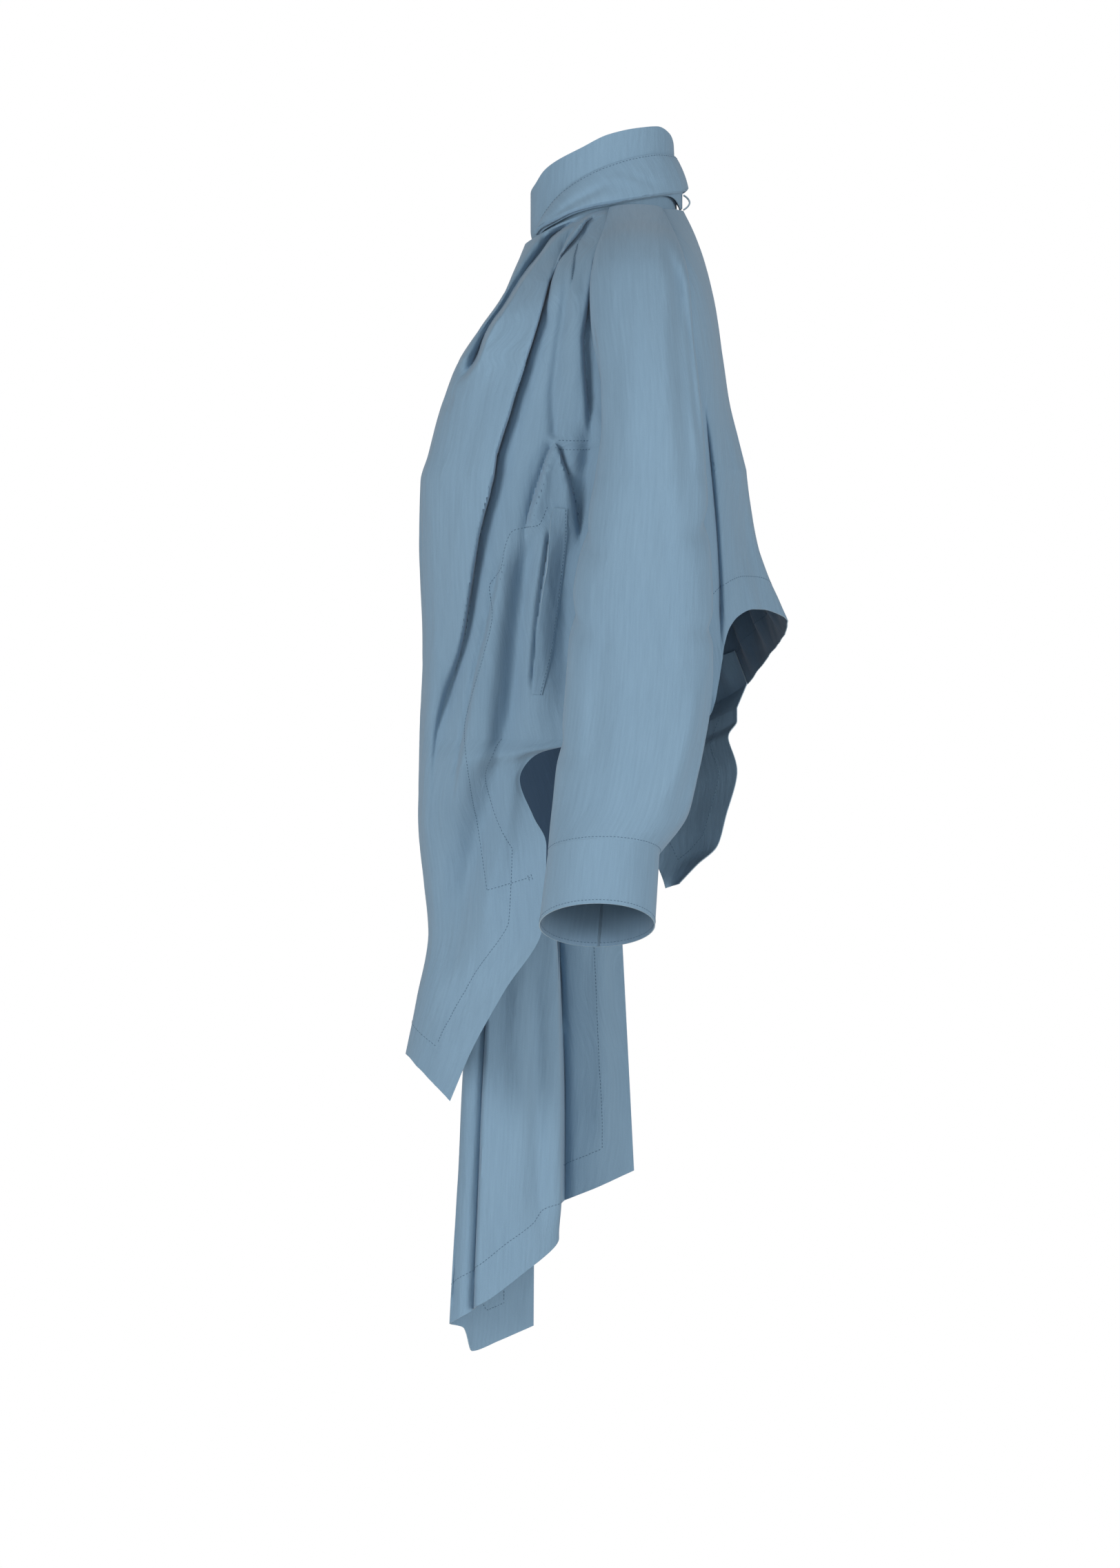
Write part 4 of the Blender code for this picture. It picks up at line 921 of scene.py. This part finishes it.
def hem_lines(sheet, edges, width):
    """Lines of stitching at one distance from the named edges of a sheet, turning the corners between them."""
    shape = sheet.grid.shape[:2]
    fields = []
    for edge, start in edges:
        nearest = np.full(shape, FAR)
        for spot in from_edge(sheet.grid, edge, start)[:, 0]:
            nearest = np.minimum(nearest, ((sheet.grid - spot) ** 2).sum(axis=2))
        fields.append(np.sqrt(nearest))
    lines = []
    for number, (edge, start) in enumerate(edges):
        others = [field for i, field in enumerate(fields) if i != number]
        clear = np.min([*others, np.full(shape, FAR)], axis=0)
        # Each place as point, normal, distance from this edge and distance from the nearest of the others.
        layers = [sheet.grid, sheet.normals, fields[number][..., None], clear[..., None]]
        layers = from_edge(np.concatenate(layers, axis=2), edge, start)
        step = np.argmax(layers[..., -2] >= width, axis=1)
        rows = np.arange(len(layers))
        before, after = layers[rows, np.maximum(step - 1, 0)], layers[rows, step]
        share = (width - before[:, -2]) / np.maximum(after[:, -2] - before[:, -2], TINY)
        line = before + (after - before) * np.clip(share, 0, 1)[:, None]
        kept = (step > 0) & (line[:, -1] > width - CORNER_SLACK)
        ends = np.flatnonzero(np.diff(np.concatenate([[0], kept.astype(int), [0]])))
        for low, high in zip(ends[::2], ends[1::2]):
            if high - low >= LEAST_POINTS:
                lines.append((line[low:high, :3], unit(line[low:high, 3:6])))
    return lines


def add_object(name, data):
    made = bpy.data.objects.new(name, data)
    bpy.context.scene.collection.objects.link(made)
    return made


def add_cloth(name, mesh):
    """Makes the mesh an object of the jacket's cotton that rides on its one body."""
    made = add_object(name, mesh)
    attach(made, "root")
    return made


def sew(name, lines, sides):
    """Makes the stitches along lines on a sheet as one object; each is a short thread that dips into the cloth."""
    corners, faces = [], []
    ring = [(i, (i + 1) % 4) for i in range(4)]  # a stitch is its start, two rings of four points and its end
    pitch = STITCH + STITCH_GAP
    sunk, risen = SHELL / 2 - THREAD, SHELL / 2 + 0.5 * THREAD
    for points, normals in lines:
        reach = reach_of(points)
        middles = np.arange(0.5, max(reach[-1] / pitch, 1)) * pitch
        spots = [between(middles + share * STITCH, reach, points) for share in STITCH_SPOTS]
        for side in sides:
            out = unit(between(middles, reach, normals)) * side
            across = unit(np.cross(out, unit(spots[3] - spots[0])))
            body = [spots[0] + out * sunk]
            for spot in spots[1:3]:
                for turn in (0, math.pi / 2, math.pi, 3 * math.pi / 2):
                    body.append(spot + out * risen + (across * math.cos(turn) + out * math.sin(turn)) * THREAD)
            body.append(spots[3] + out * sunk)
            first = sum(map(len, corners))
            corners.append(np.stack(body, axis=1).reshape(-1, 3))
            for start in range(first, first + len(corners[-1]), len(body)):
                faces += [(start, start + 1 + b, start + 1 + a) for a, b in ring]
                faces += [(start + 1 + a, start + 1 + b, start + 5 + b, start + 5 + a) for a, b in ring]
                faces += [(start + 9, start + 5 + a, start + 5 + b) for a, b in ring]
    mesh = bpy.data.meshes.new(name)
    mesh.from_pydata((np.concatenate(corners) * MM).tolist(), [], faces)
    mesh.shade_smooth()
    mesh.materials.append(thread_cotton)
    return add_cloth(name, mesh)


def welt_sheet(panel):
    """The pocket welt: a strip on the panel whose fore edge stands off it."""
    table = np.array(POCKET_WELT, float)
    reach = reach_of(table[:, :2])
    rows = smooth(reach, table, np.linspace(0, reach[-1], WELT_ROWS + 1))
    across = np.linspace(0, 1, WELT_COLUMNS + 1)
    places = np.array([[(y + width * t, z - WELT_SLANT * width * t) for t in across] for y, z, width in rows])
    points, normals = place_on(panel, places.reshape(-1, 2), LEFT)
    down = np.linspace(0, 1, WELT_ROWS + 1)[:, None]
    begin, run, power = WELT_BOW
    free = (1 - across[None]) ** 2 * np.sin(math.pi * np.clip(begin + run * down, 0, 1)) ** power
    lift = (SHELL + CLEAR + WELT_LIFT * free).reshape(-1, 1)
    return Sheet("pocket_welt", (points + normals * lift).reshape(WELT_ROWS + 1, WELT_COLUMNS + 1, 3))


def make_shell(sheet, material):
    """Makes the closed shell of a sheet as an object, with its grain as a UV map and its cut edges paler."""
    points, normals = sheet.grid.reshape(-1, 3), sheet.normals.reshape(-1, 3)
    count = len(points)
    quads = sheet.faces()
    edges = np.concatenate([np.stack([quads[:, i], quads[:, (i + 1) % 4]], axis=1) for i in range(4)])
    keys = np.sort(edges, axis=1) @ np.array([count, 1])
    _, first, times = np.unique(keys, return_index=True, return_counts=True)
    start, end = edges[first[times == 1]].T
    faces = np.concatenate([quads, quads[:, ::-1] + count, np.stack([end, start, start + count, end + count], axis=1)])
    everything = np.concatenate([points + normals * SHELL / 2, points - normals * SHELL / 2]) * MM
    used, compact = np.unique(faces.reshape(-1), return_inverse=True)
    faces = compact.reshape(faces.shape)
    mesh = bpy.data.meshes.new(sheet.name)
    mesh.vertices.add(len(used))
    mesh.vertices.foreach_set("co", everything[used].reshape(-1))
    mesh.loops.add(faces.size)
    mesh.loops.foreach_set("vertex_index", faces.reshape(-1))
    mesh.polygons.add(len(faces))
    mesh.polygons.foreach_set("loop_start", np.arange(0, faces.size, 4))
    mesh.update(calc_edges=True)
    mesh.validate()
    mesh.shade_smooth()
    mesh.set_sharp_from_angle(angle=math.radians(SHARP_ANGLE))
    grain = np.stack([part.reshape(-1) for part in grain_places(sheet.grid)], axis=1)
    grain = np.concatenate([grain, grain])[used] * MM
    layer = mesh.uv_layers.new(name="grain")
    vertex_of_loop = np.empty(len(mesh.loops), np.int32)
    mesh.loops.foreach_get("vertex_index", vertex_of_loop)
    layer.data.foreach_set("uv", grain[vertex_of_loop].reshape(-1))
    # Painted shade: the inner faces carry their share of it, the outer faces none.
    inner = np.concatenate([np.zeros(count), sheet.painted_inner_shade.reshape(-1)])[used]
    mesh.attributes.new("painted_inner_shade", "FLOAT", "POINT").data.foreach_set("value", inner)
    mesh.materials.append(material)
    mesh.materials.append(edge_cotton)
    slots = np.zeros(len(mesh.polygons), np.int32)
    slots[-len(start) :] = 1
    mesh.polygons.foreach_set("material_index", slots)
    shell = add_cloth(sheet.name + "_cloth", mesh)
    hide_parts(sheet.name)
    return shell


# ---- materials ----
def fill(tree, node, inputs):
    """Sets a node's inputs; each takes a plain value or the output of another node."""
    for name, value in inputs.items():
        if isinstance(value, bpy.types.NodeSocket):
            tree.links.new(value, node.inputs[name])
        else:
            node.inputs[name].default_value = value


def add_node(tree, kind, inputs, **settings):
    node = tree.nodes.new("ShaderNode" + kind)
    for name, value in settings.items():
        setattr(node, name, value)
    fill(tree, node, inputs)
    return node


def add_ramp(tree, factor, low, high, at=(0, 1)):
    ramp = add_node(tree, "ValToRGB", {"Fac": factor})
    for element, position, colour in zip(ramp.color_ramp.elements, at, (low, high)):
        element.position, element.color = position, (*colour, 1)
    return ramp.outputs["Color"]


def new_material(name):
    material = bpy.data.materials.new(name)
    material.use_nodes = True
    return material, material.node_tree, material.node_tree.nodes["Principled BSDF"]


def plain_cotton(name, deep, light):
    """Cotton of the threads and cut edges: one colour with faint fuzz."""
    material, tree, shader = new_material(name)
    place = add_node(tree, "TexCoord", {}).outputs["Object"]
    fuzz = add_node(tree, "TexNoise", {"Scale": 900, "Vector": place}).outputs["Fac"]
    colour = add_ramp(tree, fuzz, deep, light)
    fill(tree, shader, {"Roughness": 0.85, "Specular IOR Level": 0.2, "Base Color": colour})
    return material


def cotton(name, deep, light):
    """Matte washed cotton: plain weave, faint crepe along the grain, uneven dye and painted shade on the inside."""
    material, tree, shader = new_material(name)
    grain = add_node(tree, "UVMap", {}, uv_map="grain").outputs["UV"]

    def clouds(stretch, scale, detail, rough=0.5, distortion=0.0):
        """Noise on the cloth; with a stretch under 1 it is longer down the grain than across."""
        place = add_node(tree, "Mapping", {"Scale": (1, stretch, 1), "Vector": grain}).outputs["Vector"]
        form = {"Scale": scale, "Detail": detail, "Roughness": rough, "Distortion": distortion}
        return add_node(tree, "TexNoise", {**form, "Vector": place}).outputs["Fac"]

    def multiply(first, second, factor):
        inputs = {"Factor": factor, "A": first, "B": second}
        return add_node(tree, "Mix", inputs, data_type="RGBA", blend_type="MULTIPLY").outputs["Result"]

    colour = add_ramp(tree, clouds(0.5, 9, 3), deep, light, RAMP_ENDS)
    for stretch, scale, detail, dark, share in DYE_LAYERS:
        colour = multiply(colour, add_ramp(tree, clouds(stretch, scale, detail), dark, (1, 1, 1), RAMP_ENDS), share)
    # Painted shade: the inside faces are darkened by their share of it.
    inner = add_node(tree, "Attribute", {}, attribute_name="painted_inner_shade").outputs["Fac"]
    colour = multiply(colour, PAINTED_INNER_SHADE_TONE, inner)
    relief = {}
    for strength, distance, *form in RELIEF_LAYERS:
        bump = {"Strength": strength, "Distance": distance, "Height": clouds(*form)}
        relief = {"Normal": add_node(tree, "Bump", {**bump, **relief}).outputs["Normal"]}
    sheen = {"Sheen Weight": 0.18, "Sheen Roughness": 0.5}
    fill(tree, shader, {"Roughness": 0.9, "Specular IOR Level": 0.25, **sheen, "Base Color": colour, **relief})
    return material


# ---- the sheets and their folds ----
cloth = cotton("washed_cotton", DYE_DEEP, DYE_LIGHT)
# The thread is drawn darker than its own tone, as painted shade of the stitches and their puckers.
thread_cotton = plain_cotton("sewing_thread", THREAD_AND_SHADE_DEEP, THREAD_AND_SHADE_LIGHT)
edge_cotton = plain_cotton("cut_edge", EDGE_DEEP, EDGE_LIGHT)
left_sleeve, right_sleeve = pair("sleeve", sleeve_grid(), ARM_ROWS)
left_cuff, right_cuff = pair("cuff", cuff_grid(), 0)
front_line, back_line = (left_sleeve.grid[: ARM_ROWS + 1, column] + lap() for column in (0, -1))
left_front = Sheet("left_front", left_front_grid(front_line), -1)
right_front = Sheet("right_front", right_front_grid(mirrored(front_line)))
back = Sheet("back", back_grid(back_line))
wrap = Sheet("collar_wrap", wrap_grid())
for held in (
    # sheet; how far in from its left, right and top edge it is held, as shares of its size
    (left_front, 0.022, 0, 0.02),
    (right_front, 0.07, 0, 0.02),
    (back, 0.05, 0.05, 0.05),
    (left_sleeve, 0.08, 0.025, 0.05),
    (right_sleeve, 0.08, 0.025, 0.05),
    (wrap, 0.03, 0.03, 0.08),
):
    hold_edges(*held)
press(left_front, LEFT_FRONT_LAPS, LEFT_FRONT_CREASES, LEFT, LEFT_FRONT_RIPPLE)
welt = welt_sheet(left_front)
slit = [SLIT_HEAD, *[(y - SLIT_OFF, z) for y, z, _ in POCKET_WELT[3:]]]
for pressed in (
    # sheet, laps, creases, view, height of the ripples where it isn't the usual one
    (left_front, [], [(SLIT_DEPTH, SLIT_WIDTH, 0.08, 0.1, slit)], LEFT, 0),
    (right_front, RIGHT_FRONT_LAPS, RIGHT_FRONT_CREASES, RIGHT),
    (back, [], BACK_CREASES, REAR),
    (back, BACK_SIDE_LAPS, BACK_SIDE_CREASES, LEFT, 0),
    (left_sleeve, [], LEFT_SLEEVE_CREASES, LEFT),
    (right_sleeve, [], LEFT_SLEEVE_CREASES, RIGHT),
    (left_front, [], LEFT_CHEST_CREASES, FRONT, 0),
    (right_front, [], RIGHT_CHEST_CREASES, FRONT, 0),
    (wrap, [], WRAP_CREASES, LEFT),
):
    press(*pressed)
for sheet, side in ((left_sleeve, 1), (right_sleeve, -1)):
    for creases, view in ((LEFT_SLEEVE_FRONT_CREASES, FRONT), (LEFT_SLEEVE_REAR_CREASES, REAR)):
        turned = [(*row[:4], [(x * side, z) for x, z in row[4]]) for row in creases]
        press(sheet, [], turned, view, 0)
share_normals([left_sleeve, right_sleeve, left_cuff, right_cuff, left_front, right_front, back])
tail = Sheet("back_tail", tail_grid(back), -1)
collar = Sheet("collar", collar_grid(), 1, 0)
loop = Sheet("nape_loop", loop_grid())

# Painted shade on the inside of the body, for the little light that reaches in there; it fades out towards the hems.
for sheet, share, low, high in (
    (left_front, 0.7, INNER_LOW, INNER_HIGH),
    (right_front, 1.0, INNER_LOW, INNER_HIGH),
    (back, 0.7, BACK_INNER_LOW, BACK_INNER_HIGH),
):
    sheet.painted_inner_shade = soft_step(sheet.grid[..., 2], low, high) * share
# Painted shade inside the sleeves and cuffs as well, at a lower share.
for sheet in (left_sleeve, right_sleeve, left_cuff, right_cuff):
    sheet.painted_inner_shade[:] = SLEEVE_INNER_SHADE

# ---- the sewing ----
side_end = ARM_ROWS + LEFT_LOWER.index(2) * FINER  # row of both fronts where the side seam ends
SEWN = [
    # sheet, edges and the row from which each is sewn, distance of the line from them, sides
    (left_front, [("left", side_end), ("bottom", 0)], HEM, (1, -1)),
    (right_front, [("left", side_end), ("bottom", 0), ("right", 0)], HEM, (1, -1)),
    (back, [("bottom", 0)], HEM, (1, -1)),
    (tail, [("left", TAIL_HEAD_ROWS), ("bottom", 0), ("right", TAIL_HEAD_ROWS)], TAIL_HEM, (1, -1)),
    (welt, [("right", 0)], WELT_STITCH, (1,)),
    (wrap, [("top", 0)], WRAP_STITCH, (1,)),
    (left_sleeve, [("bottom", 0)], SEAM_STITCH, (1,)),
    (right_sleeve, [("bottom", 0)], SEAM_STITCH, (1,)),
    (left_cuff, [("bottom", 0)], RIM_STITCH, (1, -1)),
    (right_cuff, [("bottom", 0)], RIM_STITCH, (1, -1)),
]
for sheet, edges, width, sides in SEWN:
    lines = hem_lines(sheet, edges, width)
    if sheet is left_front:
        lines += [seen_line(left_front, path, LEFT) for path in LEFT_FRONT_STITCHING]
    sew(sheet.name + "_stitches", lines, sides)
# How each sheet is cut: flat width and length in metres, area in square metres, how it hangs and from what.
SHEETS = [
    # sheet, width, length, area, held, rests_on
    (left_sleeve, 0.35, 0.68, 0.160, "hung", ("collar",)),
    (right_sleeve, 0.35, 0.68, 0.160, "hung", ("collar",)),
    (left_cuff, 0.31, 0.066, None, "hung", ("left_sleeve",)),
    (right_cuff, 0.31, 0.066, None, "hung", ("right_sleeve",)),
    (left_front, 0.46, 0.92, 0.290, "gathered", ("left_sleeve", "back")),
    (right_front, 0.42, 1.04, 0.290, "gathered", ("right_sleeve", "back")),
    (back, 0.62, 0.54, 0.180, "hung", ("left_sleeve", "right_sleeve")),
    (tail, 0.11, 0.24, 0.018, "hung", ("back",)),
    (collar, 0.41, 0.085, 0.029, "hung", ("collar_wrap",)),
    (wrap, 0.39, 0.054, 0.015, "folded", ("collar",)),
    (loop, 0.018, 0.018, None, "folded", ("collar",)),
    (welt, 0.015, 0.172, None, "laid", ("left_front",)),
]
shells = {sheet.name: make_shell(sheet, cloth) for sheet, *_ in SHEETS}


# ---- stage, light and camera ----
def area_light(name, place, size, power):
    light = bpy.data.lights.new(name, "AREA")
    light.shape = "RECTANGLE"
    light.size = light.size_y = size
    light.energy = power
    lamp = add_object(name, light)
    lamp.location = Vector(place) * MM
    lamp.rotation_euler = (Vector(AIM) * MM - lamp.location).to_track_quat("-Z", "Y").to_euler()


def set_world(seen, front, rear, towards):
    """White as the camera sees it; as it lights the cloth, a soft dome that changes from rear to front."""
    world = bpy.data.worlds.new("studio")
    world.use_nodes = True
    tree = world.node_tree
    place = add_node(tree, "TexCoord", {}).outputs["Generated"]
    turned = add_node(tree, "VectorMath", {0: place, 1: Vector(towards).normalized()}, operation="DOT_PRODUCT")
    ends = {"From Min": DOME_REAR, "From Max": 1.0, "To Min": rear, "To Max": front, "Value": turned.outputs["Value"]}
    dome = add_node(tree, "MapRange", ends, interpolation_type="SMOOTHSTEP").outputs["Result"]
    straight = add_node(tree, "LightPath", {}).outputs["Is Camera Ray"]
    strength = add_node(tree, "Mix", {"Factor": straight, "A": dome, "B": seen}).outputs["Result"]
    fill(tree, tree.nodes["Background"], {"Color": (1, 1, 1, 1), "Strength": strength})
    bpy.context.scene.world = world


set_world(seen=1.0, front=0.24, rear=0.25, towards=(1, 0, 0))
for lamp_row in LIGHTS:
    area_light(*lamp_row)
bpy.context.scene.view_settings.view_transform = "Standard"

floor_mesh = bpy.data.meshes.new("floor")
rim = [
    (math.cos(math.radians(a)) * FLOOR_RADIUS, math.sin(math.radians(a)) * FLOOR_RADIUS, FLOOR_Z * MM)
    for a in range(0, 360, 5)
]
floor_mesh.from_pydata(rim, [], [tuple(range(len(rim)))])
floor = add_object("floor", floor_mesh)
paint, paint_tree, paint_shader = new_material("floor_paint")
fill(paint_tree, paint_shader, {"Base Color": (0.86, 0.86, 0.86, 1), "Roughness": 0.9})
floor_mesh.materials.append(paint)
floor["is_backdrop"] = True

camera = add_object("camera", bpy.data.cameras.new("camera"))
camera.data.sensor_width = SENSOR
camera.data.lens = SENSOR * CAMERA_AWAY / VIEW_HEIGHT
camera.data.clip_end = 60
camera.location = (Vector(AIM) + Vector((CAMERA_AWAY, 0, 0))) * MM
camera.rotation_euler = (math.pi / 2, 0, math.pi / 2)
bpy.context.scene.camera = camera

low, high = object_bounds()
